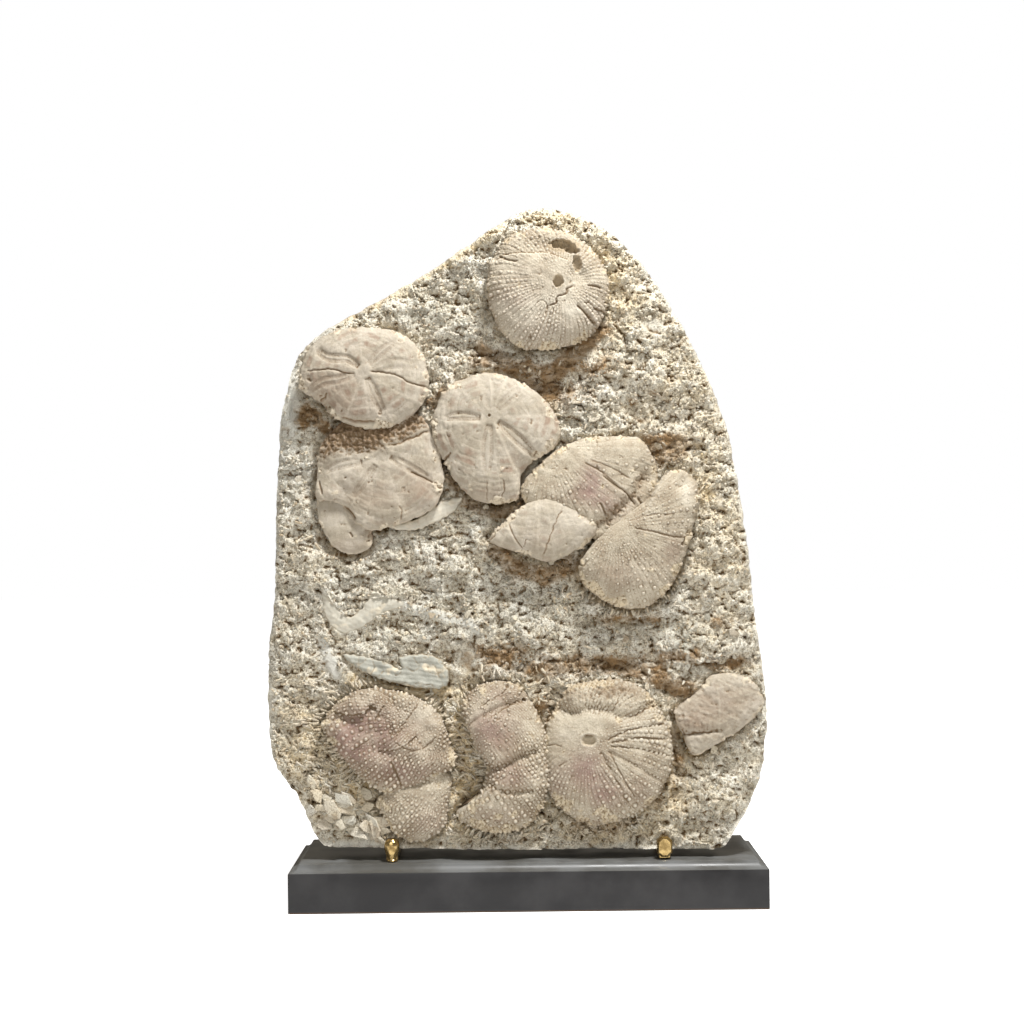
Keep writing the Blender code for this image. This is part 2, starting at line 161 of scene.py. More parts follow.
# Distance to a path, how far along it (0 to 1), and the side it lies on (+1 left, -1 right)
def pathReach(x, z, path):
    path = np.array(path, float)
    best = np.full(np.shape(x), 1e9)
    along = np.zeros(np.shape(x))
    side = np.ones(np.shape(x))
    walked = 0
    for start, end in zip(path, path[1:]):
        length = math.hypot(*(end - start))
        dx, dz = (end - start) / length
        t = np.clip((x - start[0]) * dx + (z - start[1]) * dz, 0, length)
        offX = x - start[0] - t * dx
        offZ = z - start[1] - t * dz
        distance = np.hypot(offX, offZ)
        nearer = distance < best
        best = np.where(nearer, distance, best)
        along = np.where(nearer, walked + t, along)
        side = np.where(nearer, np.sign(dx * offZ - dz * offX), side)
        walked += length
    return best, along / walked, side


# The same for the smooth open curve through the points
def nearCurve(x, z, points, spacing=2):
    return pathReach(x, z, smoothCurve(points, spacing, closed=False))


# 1 along a path, easing to 0 before its start and its end
def easedEnds(along, start, end):
    return smoothStep(0, start, along) * smoothStep(1, end, along)


# 1 on a line, falling off smoothly to each side of it
def ridgeOf(distance, width):
    return np.exp(-(distance / width) ** 2)


def ovalShare(x, z, ovals):
    return np.clip(ovalMounds(x, z, ovals), 0, 1)


def bearingOf(offset):
    return np.arctan2(offset[:, 1], offset[:, 0])


def unitWay(angle):
    return np.stack([np.cos(angle), np.sin(angle)], axis=-1)


# The loop run round against the clock
def turnedLeft(loop):
    return loop[::-1] if np.sum(np.cross(loop, np.roll(loop, -1, axis=0))) < 0 else loop


# Unit ways out of a loop that runs against the clock
def outwardWays(loop):
    step = loop - np.roll(loop, 1, axis=0)
    return np.stack([step[:, 1], -step[:, 0]], axis=1) / np.hypot(*step.T)[:, None]


def middleOf(look):
    return np.array(look.get("hub", np.mean(look["outline"], axis=0)), float)


# Points (x, y, z) from places on the slab and their heights in front of its mean face
def standing(x, z, height):
    return np.stack([x, meanFaceY - height, z], axis=-1)


def loopDistance(x, z, loop):
    return pathReach(x, z, np.vstack([loop, loop[:1]]))[0]


def insideLoop(x, z, loop):
    inside = np.zeros(np.shape(x), bool)
    for (ax, az), (bx, bz) in zip(loop, np.roll(loop, -1, axis=0)):
        if az == bz:
            continue
        crosses = (az > z) != (bz > z)
        inside ^= crosses & (x < (bx - ax) * (z - az) / (bz - az) + ax)
    return inside


# The points inside a loop that lie at least this far from an edge
def wellInside(points, loop, edge, margin):
    points = points[insideLoop(*points.T, loop)]
    return points[loopDistance(*points.T, edge) > margin]


# Staggered points over the box round a loop, each nudged a little so that no pattern shows
def scatteredGrid(loop, spacing, seed):
    low = loop.min(axis=0)
    high = loop.max(axis=0)
    rng = np.random.default_rng(seed)
    rowGap = spacing * math.sqrt(3) / 2
    rows = np.arange(low[1], high[1], rowGap)
    columns = np.arange(low[0], high[0], spacing)
    x, z = np.meshgrid(columns, rows)
    x = x + (np.arange(len(rows)) % 2)[:, None] * spacing / 2
    points = np.stack([x.ravel(), z.ravel()], axis=1)
    return points + rng.uniform(-0.26, 0.26, points.shape) * spacing


# Triangles between the points inside a loop. Returns the points, the triangles and the loop's places
def fillLoop(loop, inner):
    points = [Vector(point) for point in np.vstack([loop, inner]).tolist()]
    count = len(loop)
    edges = [(i, (i + 1) % count) for i in range(count)]
    verts, _, faces, origin, _, _ = delaunay_2d_cdt(points, edges, [], 1, 1e-6)
    where = np.zeros(len(points), int)
    for place, sources in enumerate(origin):
        for source in sources:
            where[source] = place
    triangles = np.array(faces)
    points = np.array([(point.x, point.y) for point in verts])
    a, b, c = (points[triangles[:, i]] for i in range(3))
    turned = np.cross(b - a, c - a) < 0
    triangles[turned] = triangles[turned][:, ::-1]
    return points, triangles, where[:count]


def edgePairs(triangles):
    pairs = np.vstack([triangles[:, [0, 1]], triangles[:, [1, 2]], triangles[:, [2, 0]]])
    return np.unique(np.sort(pairs, axis=1), axis=0)


def outwardNormals(verts, triangles):
    a, b, c = (verts[triangles[:, i]] for i in range(3))
    facing = np.cross(b - a, c - a)
    total = np.zeros_like(verts)
    for axis in range(3):
        for corner in range(3):
            total[:, axis] += np.bincount(triangles[:, corner], facing[:, axis], len(verts))
    return total / np.maximum(np.linalg.norm(total, axis=1), 1e-12)[:, None]


# How deep each point lies below its surroundings, in mm, as seen over a few neighbours
def hollowDepth(verts, triangles, normals, rounds):
    pairs = edgePairs(triangles)
    ends = np.concatenate([pairs[:, 0], pairs[:, 1]])
    others = np.concatenate([pairs[:, 1], pairs[:, 0]])
    count = np.maximum(np.bincount(ends, minlength=len(verts)), 1)[:, None]
    smooth = verts
    for _ in range(rounds):
        total = np.stack([np.bincount(ends, smooth[others, axis], len(verts)) for axis in range(3)], axis=1)
        smooth = (smooth + total / count) / 2
    return np.sum((smooth - verts) * normals, axis=1)


def newObject(name, data):
    thing = bpy.data.objects.new(name, data)
    bpy.context.scene.collection.objects.link(thing)
    return thing


def makePiece(name, verts, triangles, node, material, masks, smooth=True):
    mesh = bpy.data.meshes.new(name)
    mesh.vertices.add(len(verts))
    mesh.vertices.foreach_set("co", (np.asarray(verts, float) * mm).ravel())
    mesh.loops.add(3 * len(triangles))
    mesh.loops.foreach_set("vertex_index", np.asarray(triangles, np.int32).ravel())
    mesh.polygons.add(len(triangles))
    mesh.polygons.foreach_set("loop_start", np.arange(0, 3 * len(triangles), 3, dtype=np.int32))
    mesh.polygons.foreach_set("use_smooth", np.full(len(triangles), smooth))
    mesh.update(calc_edges=True)
    for maskName, values in masks.items():
        mask = mesh.attributes.new(maskName, "FLOAT", "POINT")
        mask.data.foreach_set("value", np.asarray(values, np.float32))
    piece = newObject(name + "_relief" if node else name, mesh)
    mesh.materials.append(material)
    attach(piece, "root")
    if node:
        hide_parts(node)
    print(name, len(triangles), "triangles")
    return piece


# A mask's values on the front sheet, with one value for all the points behind it
def withBack(values, extra, value=0.0):
    return np.concatenate([values, np.full(extra, value)])


# Joins a front sheet to rings that run back from its edge, then closes the last ring with a flat face
def closeBehind(verts, triangles, edge, rings, inner=()):
    sheets = [verts]
    walls = [triangles]
    last = np.array(edge)
    total = len(verts)
    for ring in rings:
        here = np.arange(total, total + len(ring))
        walls.append(np.stack([last, here, np.roll(last, -1)], axis=1))
        walls.append(np.stack([np.roll(last, -1), here, np.roll(here, -1)], axis=1))
        sheets.append(ring)
        total += len(ring)
        last = here
    rear = rings[-1][:, [0, 2]]
    flat, cap, where = fillLoop(rear, np.array(inner, float).reshape(-1, 2))
    place = np.arange(total, total + len(flat))
    place[where] = last
    place[np.setdiff1d(np.arange(len(flat)), where)] = np.arange(total, total + len(flat) - len(rear))
    added = np.delete(flat, where, axis=0)
    sheets.append(np.stack([added[:, 0], np.full(len(added), rings[-1][0, 1]), added[:, 1]], axis=1))
    walls.append(place[cap][:, ::-1])
    return np.vstack(sheets), np.vstack(walls)


# How far out a loop lies from the hub, for any direction
def distanceOverLoop(loop, hub):
    offset = loop - hub
    angle = np.unwrap(bearingOf(offset))
    radius = np.hypot(*offset.T)
    if angle[-1] < angle[0]:
        angle = angle[::-1]
        radius = radius[::-1]
    angle = np.maximum.accumulate(angle)
    angle = np.append(angle, angle[0] + fullTurn)
    radius = np.append(radius, radius[0])
    return lambda direction: np.interp((direction - angle[0]) % fullTurn + angle[0], angle, radius)


# What the fossils share. A fossil's own values go before these
fossilMake = {
    "urchinSpacing": 0.66,
    "dollarSpacing": 0.74,
    "depthInMatrix": 17,
    # rings behind the rim: share of the way back, and how far they turn in, as a share of the outline
    "wall": ((0.25, 0.012), (0.5, 0.03), (0.78, 0.039), (1.0, 0.042)),
    "ceiling": 24.6,        # no knob or crust stands higher
    "cut": 1,               # how deep the stone is cut away round it, and how much painted shade lies beside it
    "squareness": 2.6,      # fullness of the dome
    "waver": 0.8,           # slow unevenness of the dome
    "roughness": 1,
    "turn": 0,              # of the columns of knobs about the pole
    "fan": None,            # crushed flat: rows run straight out from the pole, this far to its rim
    "knobRadius": 1.5,
    "knobHeight": 1.15,
    "rowGap": 3.1,
    "room": 1.04,           # least distance between two knobs, as a share of their radii together
    "evenKnobs": 0.2,       # how alike the columns' knobs are
    "lines": 1,             # strength of the furrows between columns
    "knobRingShade": 0.8,       # painted shade over the knobby surface and in the ring round each knob
    "paleTips": 0.2,
    "tipTint": 0,
    "spots": 0.8,           # dark blotches on a sand dollar's plates
    "fibres": None,         # direction in degrees and strength of a fibrous grain
    "raggedHoles": 0.12,
    # painted shadow that the earth ovals add through the hollow mask
    "earthShadowDepth": 0,
    # soft oval places: x, z, half width, half height, and the depth of a dent or the share of a colour
    **dict.fromkeys(("dents", "worn", "bleached", "tints", "earth", "crusted"), ()),
    # path, width and depth; path, drop and run; path, strength, width and slope; path, width and rise;
    # path, width, depth and stain
    **dict.fromkeys(("valleys", "ledges", "petals", "ridges", "cracks"), ()),
    # x, z, half width, half height, then depth and dirt, or sand and dirt of a lit hole's floor
    **dict.fromkeys(("holes", "litHoles"), ()),
}


# Round knobs in columns down the meridians of a regular urchin, big ones placed first
knobMake = {
    # size of each column's knobs, over one fifth of the way round
    "columnShare": (1.0, 0.6, 0.85, 0.45, 0.7, 0.4, 0.55, 0.4, 0.7, 0.45, 0.85, 0.6, 1.0, 0.5),
    "poreGap": 2.0,         # from one pair of pores to the next
    "lineDepth": 0.3,       # of the fine furrows between columns
}


# Bearing round the pole, way down from it and radius of every knob that finds room on the dome
def knobPlaces(look, toSlab, meanRadius, walked):
    rng = np.random.default_rng(look["seed"] + 400)
    shares = np.array(knobMake["columnShare"])
    columns = 5 * len(shares)
    rows = int(2 * walked / look["rowGap"])
    column, row = (part.ravel() for part in np.meshgrid(np.arange(columns), np.arange(1, rows)))
    colatitude = (row + 0.5 * (column % 2)) * look["rowGap"] / walked * math.pi / 2
    even = look["evenKnobs"]
    share = shares[column % len(shares)] * (1 - even) + 0.85 * even
    size = look["knobRadius"] * share * rng.uniform(0.85, 1.15, len(row))
    size = size * (0.55 + 0.45 * np.sin(np.clip(colatitude, 0, math.pi / 2)))
    bearing = column / columns * fullTurn + rng.normal(0, 0.25, len(row)) / meanRadius
    colatitude = colatitude + rng.normal(0, 0.25, len(row)) / meanRadius
    places, seen = toSlab(bearing, colatitude)
    order = np.argsort(-size + 10 * ~seen)
    kept = []
    for i in order[:np.count_nonzero(seen)]:
        gap = np.hypot(*(places[kept] - places[i]).T)
        if not kept or np.all(gap > look["room"] * (size[kept] + size[i])):
            kept.append(i)
    return places[kept], size[kept]


# How far each point lies up the nearest knob (0 to 1), how far in the shallow ring round it, and its radius
def knobShapes(x, z, places, sizes):
    tree = KDTree(len(places))
    for i, (px, pz) in enumerate(places):
        tree.insert((px, pz, 0), i)
    tree.balance()
    nearest = np.full(len(x), 9.0)
    size = np.ones(len(x))
    for point in range(len(x)):
        for _, i, distance in tree.find_n((x[point], z[point], 0), 2):
            if distance / sizes[i] < nearest[point]:
                nearest[point] = distance / sizes[i]
                size[point] = sizes[i]
    return np.clip(1 - nearest ** 2, 0, 1) ** 0.9, ridgeOf(nearest - 1.2, 0.35), size


# Dotted lines of pores, and fine furrows between the columns of knobs
def meridianLines(longitude, walked, ringRadius):
    columns = 5 * len(knobMake["columnShare"])
    fifth = longitude / fullTurn * 5
    toPores = np.abs(np.abs((fifth + 0.5) % 1 - 0.5) - 0.21) * fullTurn * ringRadius / 5
    dotted = 0.55 + 0.45 * np.cos(fullTurn * walked / knobMake["poreGap"])
    phase = longitude / fullTurn * columns + 0.5
    toLine = np.abs(phase - np.round(phase)) * fullTurn * ringRadius / columns
    return (ridgeOf(toPores, 0.65) * dotted * smoothStep(6, 14, ringRadius),
            ridgeOf(toLine, 0.45) * smoothStep(10, 24, ringRadius))


# Pores, furrows and knobs of a regular urchin. Its points lie at a bearing and a reach from the hub
def urchinOrnament(look, x, z, hub, direction, reach, radiusAt, meanRadius, walked):
    pole = np.array(look["pole"], float)
    poleAngle = math.atan2(*(pole - hub)[::-1])
    poleReach = min(0.97, math.hypot(*(pole - hub)) / radiusAt(poleAngle))
    up = np.array([math.cos(poleAngle) * poleReach, math.sin(poleAngle) * poleReach,
                   math.sqrt(1 - poleReach ** 2)])
    first = np.array([0.0, 1.0, 0.0]) - up * up[1]
    first /= np.linalg.norm(first)
    second = np.cross(up, first)
    fan = look["fan"]
    if fan:
        colatitude = np.hypot(x - pole[0], z - pole[1]) / fan * math.pi / 2
        longitude = np.arctan2(z - pole[1], x - pole[0]) + math.pi + look["turn"]
        ringRadius = colatitude / math.pi * 2 * fan
    else:
        unit = np.column_stack([unitWay(direction) * reach[:, None], np.sqrt(np.clip(1 - reach ** 2, 0, 1))])
        colatitude = np.arccos(np.clip(unit @ up, -1, 1))
        longitude = np.arctan2(unit @ second, unit @ first) + math.pi + look["turn"]
        ringRadius = meanRadius * np.sin(colatitude)
    pores, line = meridianLines(longitude + 0.03 * waveNoise(x, z, 18, look["seed"] + 21),
                                colatitude / (math.pi / 2) * walked, ringRadius)

    # Places on the slab for bearings and ways down from the pole, and whether they can be seen
    def toSlab(bearing, fromPole):
        bearing = bearing - math.pi - look["turn"]
        if fan:
            places = pole + (fromPole / math.pi * 2 * fan)[:, None] * unitWay(bearing)
            return places, np.hypot(*(places - hub).T) < 0.97 * radiusAt(bearingOf(places - hub))
        ray = unitWay(bearing) @ np.stack([first, second])
        ray = np.sin(fromPole)[:, None] * ray + np.cos(fromPole)[:, None] * up
        angle = bearingOf(ray)
        share = radiusAt(angle) * np.hypot(ray[:, 0], ray[:, 1])
        return hub + share[:, None] * unitWay(angle), ray[:, 2] > 0.05

    knob, moat, size = knobShapes(x, z, *knobPlaces(look, toSlab, meanRadius, walked))
    size = size / look["knobRadius"]
    kept = (1 - ovalShare(x, z, look["worn"])) * (0.9 + 0.4 * waveNoise(x, z, 15, look["seed"] + 31))
    kept = np.clip(kept, 0.12, 1.15) * smoothStep(0.04, 0.16, colatitude)
    lined = look["lines"] * line * (1 - 0.6 * np.clip(kept, 0, 1) * knob) * np.clip(1.2 * kept, 0.25, 1)
    relief = kept * (look["knobHeight"] * size * knob - 0.2 * moat) - 0.35 * np.clip(kept, 0.3, 1) * pores
    # Painted shade over the knobs' ground and in the ring round each knob, with dark pores and furrows
    stain = kept * (0.12 + 0.35 * moat) * look["knobRingShade"] + 0.35 * pores + 0.3 * lined
    tip = smoothStep(0.35, 0.8, knob) * kept * size
    return relief - knobMake["lineDepth"] * lined, stain * (1 - 0.8 * tip), tip


# Five petals of a sand dollar: each has two bands of fine pore furrows that part and meet again
petalMake = {
    "band": 1.0,            # from one furrow of a band to the other
    "furrow": 0.42,         # half width of a furrow
    "depth": 0.34,
    "ribGap": 1.3,
    "trough": 0.4,          # shallow dip along each band
}


def petalRelief(x, z, petals):
    relief = np.zeros(x.shape)
    line = np.zeros(x.shape)
    inside = np.zeros(x.shape)
    for points, strength, width, slope in petals:
        path = smoothCurve(points, 2, closed=False)
        distance, along, _ = pathReach(x, z, path)
        length = np.sum(np.hypot(*np.diff(path, axis=0).T))
        half = width / 2 * np.sin(math.pi * np.clip(along, 0.02, 0.98)) ** 0.6
        ends = easedEnds(along, 0.05, 0.85)
        for offset in (-petalMake["band"], 0, petalMake["band"]):
            furrow = ridgeOf(distance - half - offset, petalMake["furrow"])
            relief = relief - petalMake["depth"] * strength * ends * furrow
            line = np.maximum(line, strength * ends * furrow)
        ribs = np.cos(fullTurn * along * length / petalMake["ribGap"])
        banded = ridgeOf(distance - half - petalMake["band"] / 2, 0.8)
        relief = relief + ends * (0.1 * strength * ribs * banded - slope * ridgeOf(distance, 3.2))
        relief = relief - ends * petalMake["trough"] * ridgeOf(distance - half, 2.2)
        inside = np.maximum(inside, ends * smoothStep(half + 2.2, half + 0.6, distance))
    return relief, line, inside


# Seams between a sand dollar's plates, which run out from the apex in five double rows
plateMake = {
    "borders": (0.0, 0.17, 0.5, 0.83, 1.0),   # share of the turn from one petal to the next
    "rowGaps": (4.0, 7.5, 7.5, 4.0),
    "seam": 0.45,
    "seamDepth": 0.16,
}


def plateSeams(x, z, apex, rays, seed):
    rays = np.sort(np.radians(rays) % fullTurn)
    rays = np.append(rays, rays[0] + fullTurn)
    bearing = (np.arctan2(z - apex[1], x - apex[0]) - rays[0]) % fullTurn + rays[0]
    radius = np.hypot(x - apex[0], z - apex[1]) + 0.8 * waveNoise(x, z, 12, seed)
    sector = np.clip(np.searchsorted(rays, bearing, side="right") - 1, 0, len(rays) - 2)
    turn = rays[sector + 1] - rays[sector]
    share = (bearing - rays[sector]) / turn + 0.012 * waveNoise(x, z, 9, seed + 1)
    column = np.clip(np.searchsorted(plateMake["borders"], share, side="right") - 1, 0, 3)
    rowGap = np.array(plateMake["rowGaps"])[column]
    zigzag = np.abs((radius / rowGap) % 1 - 0.5) * 1.6
    toBorder = np.full(x.shape, 99.0)
    for border in plateMake["borders"]:
        toBorder = np.minimum(toBorder, np.abs((share - border) * turn * radius + zigzag - 0.4))
    phase = radius / rowGap + 0.5 * (column % 2) + np.abs(share - 0.5) * 1.1
    row = np.floor(phase).astype(np.int64)
    toRow = np.abs(phase - np.round(phase)) * rowGap
    nearest = np.minimum(toBorder, toRow)
    seam = ridgeOf(nearest, plateMake["seam"]) * smoothStep(3, 9, radius)
    tone = cellValue(sector * 4 + column, row, seed + 2)
    toRidge = np.minimum(np.minimum(share, 1 - share), np.abs(share - 0.5)) * turn * radius
    ridge = ridgeOf(toRidge, 1.2) * smoothStep(4, 10, radius)
    return seam, tone, np.clip(nearest / 2.5, 0, 1), ridge


# Petals, growth lines and plates of a sand dollar
def dollarOrnament(look, x, z, reach, meanRadius):
    seed = look["seed"]
    ornament, line, inside = petalRelief(x, z, look["petals"])
    growth = np.sin(reach * meanRadius * 1.9 + 2.5 * waveNoise(x, z, 16, seed + 3))
    relief = ornament + 0.06 * growth * smoothStep(0.45, 0.8, reach)
    stain = 0.28 * line
    if "apex" not in look:
        return relief, stain, 0, 0
    seam, tone, crown, ridge = plateSeams(x, z, look["apex"], look["rays"], seed + 71)
    away = 1 - inside
    relief = relief + away * (0.14 * crown - plateMake["seamDepth"] * seam + 0.12 * ridge)
    pale = away * (0.34 * seam + 0.14 * ridge) * (0.8 + 0.6 * waveNoise(x, z, 11, seed + 73))
    blurred = crown + 0.35 * roughNoise(x, z, 5, 2, seed + 75)
    return relief, stain, pale, smoothStep(0.6, 1.15, blurred) * smoothStep(0.1, 0.7, tone) * away


# Rings that run from a piece's rim back into the stone
def wallRings(rim, hub, make):
    rings = []
    for share, tuck in make["wall"]:
        away = (rim[:, [0, 2]] - hub) * tuck
        y = rim[:, 1] * (1 - share) + (meanFaceY + make["depthInMatrix"]) * share
        rings.append(np.stack([rim[:, 0] - away[:, 0], y, rim[:, 2] - away[:, 1]], axis=1))
    return rings


# The dome of a fossil, before its ornament
def domeHeight(look, x, z, reach):
    dome = (look["height"] - look["rim"]) * np.sqrt(np.clip(1 - reach ** look["squareness"], 0, 1))
    dome = dome - np.minimum(ovalMounds(x, z, look["dents"]), dome + 2)
    dome = dome + look["waver"] * roughNoise(x, z, 22, 2, look["seed"] + 5)
    for points, width, depth in look["valleys"]:
        distance, _, _ = nearCurve(x, z, points)
        dome = dome - depth * ridgeOf(distance, width) * smoothStep(1, 0.93, reach)
    for points, drop, run in look["ledges"]:
        distance, along, side = nearCurve(x, z, points, 1.5)
        step = drop * smoothStep(0.0, 0.7, side * distance) * np.exp(-distance / run)
        dome = dome - step * easedEnds(along, 0.08, 0.92)
    return look["rim"] + dome


# One fossil: a dome over its outline, dented and cracked, with its surface ornament raised along the normal
def makeFossil(name, look, seed, material):
    look = {**fossilMake, **look, "seed": seed}
    spacing = look["urchinSpacing" if "pole" in look else "dollarSpacing"]
    hub = middleOf(look)
    meanRadius = np.mean(distanceOverLoop(smoothCurve(look["outline"], 2), hub)(np.linspace(0, fullTurn, 90)))

    reach = 1 - (1 - np.linspace(0, 1, 400)) ** 2
    fall = (look["height"] - look["rim"]) * np.sqrt(1 - reach ** look["squareness"])
    walked = walkedOver(np.diff(reach) * meanRadius, np.diff(fall))
    stretch = walked[-1] / meanRadius

    loop = smoothCurve(look["outline"], spacing / stretch)
    loop = turnedLeft(loop + (loop - hub) * 0.012 * roughNoise(loop[:, :1], loop[:, 1:], 7, 3, seed))
    radiusAt = distanceOverLoop(loop, hub)
    flatLoop = hub + (loop - hub) * stretch
    grid = scatteredGrid(flatLoop, spacing, seed)
    share = np.hypot(*(grid - hub).T) / (radiusAt(bearingOf(grid - hub)) * stretch)
    flat, triangles, edge = fillLoop(flatLoop, grid[share < 1 - 0.55 * spacing / walked[-1]])

    direction = bearingOf(flat - hub)
    share = np.clip(np.hypot(*(flat - hub).T) / (radiusAt(direction) * stretch), 0, 1)
    share[edge] = 1
    reach = np.interp(share * walked[-1], walked, reach)
    x, z = (hub + unitWay(direction) * (radiusAt(direction) * reach)[:, None]).T
    height = domeHeight(look, x, z, reach)
    verts = standing(x, z, height)
    normals = outwardNormals(verts, triangles)

    if "pole" in look:
        relief, stain, tip = urchinOrnament(look, x, z, hub, direction, reach, radiusAt, meanRadius,
                                            walked[-1])
        pale = look["paleTips"] * tip
        spot = 0
    else:
        relief, stain, pale, spot = dollarOrnament(look, x, z, reach, meanRadius)
        tip = 0
    relief = relief + 0.35 * look["roughness"] * roughNoise(x, z, 6, 3, seed + 9)
    pale = pale + ovalShare(x, z, look["bleached"])
    if look["fibres"]:
        angle, strength = look["fibres"]
        cosine, sine = unitWay(math.radians(angle))
        fibres = roughNoise((x * cosine + z * sine) / 3, z * cosine - x * sine, 4.2, 4, seed + 81)
        relief = relief + 0.9 * strength * fibres
        stain = stain + 0.7 * strength * np.clip(-fibres, 0, 1)
    for points, width, rise in look["ridges"]:
        distance, along, _ = nearCurve(x, z, points, 1.5)
        crest = ridgeOf(distance, width) * easedEnds(along, 0.1, 0.9)
        relief = relief + 0.6 * rise * crest
        pale = pale + 0.15 * crest
    for points, width, depth, dirt in look["cracks"]:
        wander = 0.7 * waveNoise(x, z, 3.5, seed + 13)
        distance, along, _ = nearCurve(x + wander, z - wander, points, 1.2)
        cut = ridgeOf(distance, width) * easedEnds(along, 0.1, 0.85)
        relief = relief - depth * cut
        stain = stain + dirt * cut
    for cx, cz, halfWidth, halfHeight, depth, dirt in look["holes"]:
        squash = np.hypot((x - cx) / halfWidth, (z - cz) / halfHeight)
        squash = squash + look["raggedHoles"] * roughNoise(x, z, 4, 2, seed + 17)
        cut = smoothStep(1.12, 0.8, squash)
        relief = relief - depth * cut + 0.3 * ridgeOf(squash - 1.35, 0.22)
        stain = stain + dirt * cut
    pitted = np.clip(roughNoise(x, z, 9, 4, seed + 41) - 0.75, 0, 1)
    crust = smoothStep(0.28, 0.6, roughNoise(x, z, 13, 3, seed + 51) - 0.5 + 0.75 * smoothStep(0.8, 1, reach)
                       + ovalMounds(x, z, look["crusted"]))
    grit, gritTilt = crumbCells(x, z, 2.6, seed + 61)
    relief = relief - 2.2 * pitted + crust * (1.1 * (grit - 0.4) + 1.2 * gritTilt)
    stain = (stain + 0.8 * pitted) * (1 - 0.6 * crust) + crust * 0.35 * (grit < 0.35)
    pale = pale * (1 - 0.7 * crust)
    earth = np.clip(ovalMounds(x, z, look["earth"]) * (1 + 0.7 * roughNoise(x, z, 7, 3, seed + 91)), 0, 1)
    stain = np.maximum(stain, earth)
    relief = relief + 1.9 * earth * roughNoise(x, z, 3.4, 3, seed + 92)
    verts = verts + normals * np.minimum(relief, look["ceiling"] - height)[:, None]

    front = len(verts)
    verts, triangles = closeBehind(verts, triangles, edge, wallRings(verts[edge], hub, look))
    hollow = hollowDepth(verts, triangles, outwardNormals(verts, triangles), 5)
    # Painted shadow over the earth ovals
    hollow[:front] += look["earthShadowDepth"] * 0.35 * earth
    # A lit hole's floor loses the painted shade of the hollow mask and takes sand instead
    for cx, cz, halfWidth, halfHeight, sand, dirt in look["litHoles"]:
        squash = np.hypot((verts[:, 0] - cx) / halfWidth, (verts[:, 2] - cz) / halfHeight)
        hollow = hollow * smoothStep(0.8, 1.2, squash)
        lit = smoothStep(1.15, 0.85, squash[:front])
        crust = np.maximum(crust, sand * lit)
        stain = stain * (1 - lit) + dirt * lit
    extra = len(verts) - front
    tint = ovalMounds(x, z, look["tints"]) * (1 - 0.8 * tip) + look["tipTint"] * tip
    # Painted shade: the rim and the wall behind it are darkened, and deep places take the shade colour
    # through the hollow mask
    masks = {
        "hollow": np.clip(hollow / 0.35, -1, 1),
        "stain": withBack(np.clip(stain + 0.2 * smoothStep(0.95, 1, reach), 0, 1), extra, 0.5),
        "pale": withBack(np.clip(pale, 0, 1), extra),
        "tint": withBack(np.clip(tint * (1 - crust) + look["spots"] * spot, 0, 1), extra),
        "crust": withBack(crust, extra, 1),
    }
    return makePiece(name, verts, triangles, name, material, masks)


flakeMake = {"spacing": 0.9, "depthInMatrix": 6, "wall": ((0.3, 0), (1.0, 0))}


# A broken flake of shell: flat, thin and rounded over at its edge
def makeFlake(name, look, material):
    loop = turnedLeft(smoothCurve(look["outline"], flakeMake["spacing"]))
    loop = loop + np.stack([roughNoise(*loop.T, 5, 3, seed) for seed in (71, 72)], axis=1)
    grid = scatteredGrid(loop, flakeMake["spacing"], 7)
    flat, triangles, edge = fillLoop(loop, wellInside(grid, loop, loop, flakeMake["spacing"] / 2))
    x, z = flat.T
    inward = loopDistance(x, z, loop)
    inward[edge] = 0
    growth = np.sin((x * look["lines"][0] + z * look["lines"][1]) * 2 + 1.5 * waveNoise(x, z, 9, 81))
    cut = look["cracks"] * ridgeOf(np.abs(waveNoise(x, z, 11, 83)), 0.035) * (inward > 0.8)
    height = look["proud"] * (0.45 + 0.55 * (1 - np.exp(-inward / 0.8)))
    height = height + look["bulge"] * smoothStep(0, 9, inward)
    height = height + 0.5 * roughNoise(x, z, 7, 4, 82) + look["striped"] * growth - 0.7 * cut
    verts = standing(x, z, height)
    front = len(verts)
    verts, triangles = closeBehind(verts, triangles, edge, wallRings(verts[edge], (0, 0), flakeMake))
    extra = len(verts) - front
    # Painted shade: darker along the edge and on the sides that run back into the stone
    masks = {
        "hollow": withBack(np.zeros(front), extra, 0.6),
        "stain": withBack(0.8 * cut + 0.5 * smoothStep(0.9, 0, inward), extra, 0.8),
        "pale": withBack(0.3 * smoothStep(0.2, 0.9, growth), extra),
        "tint": np.full(front + extra, look["cream"]),
        "crust": withBack(smoothStep(0.35, 0.8, roughNoise(x, z, 12, 3, 84)), extra, 1),
    }
    return makePiece(name, verts, triangles, name, material, masks)


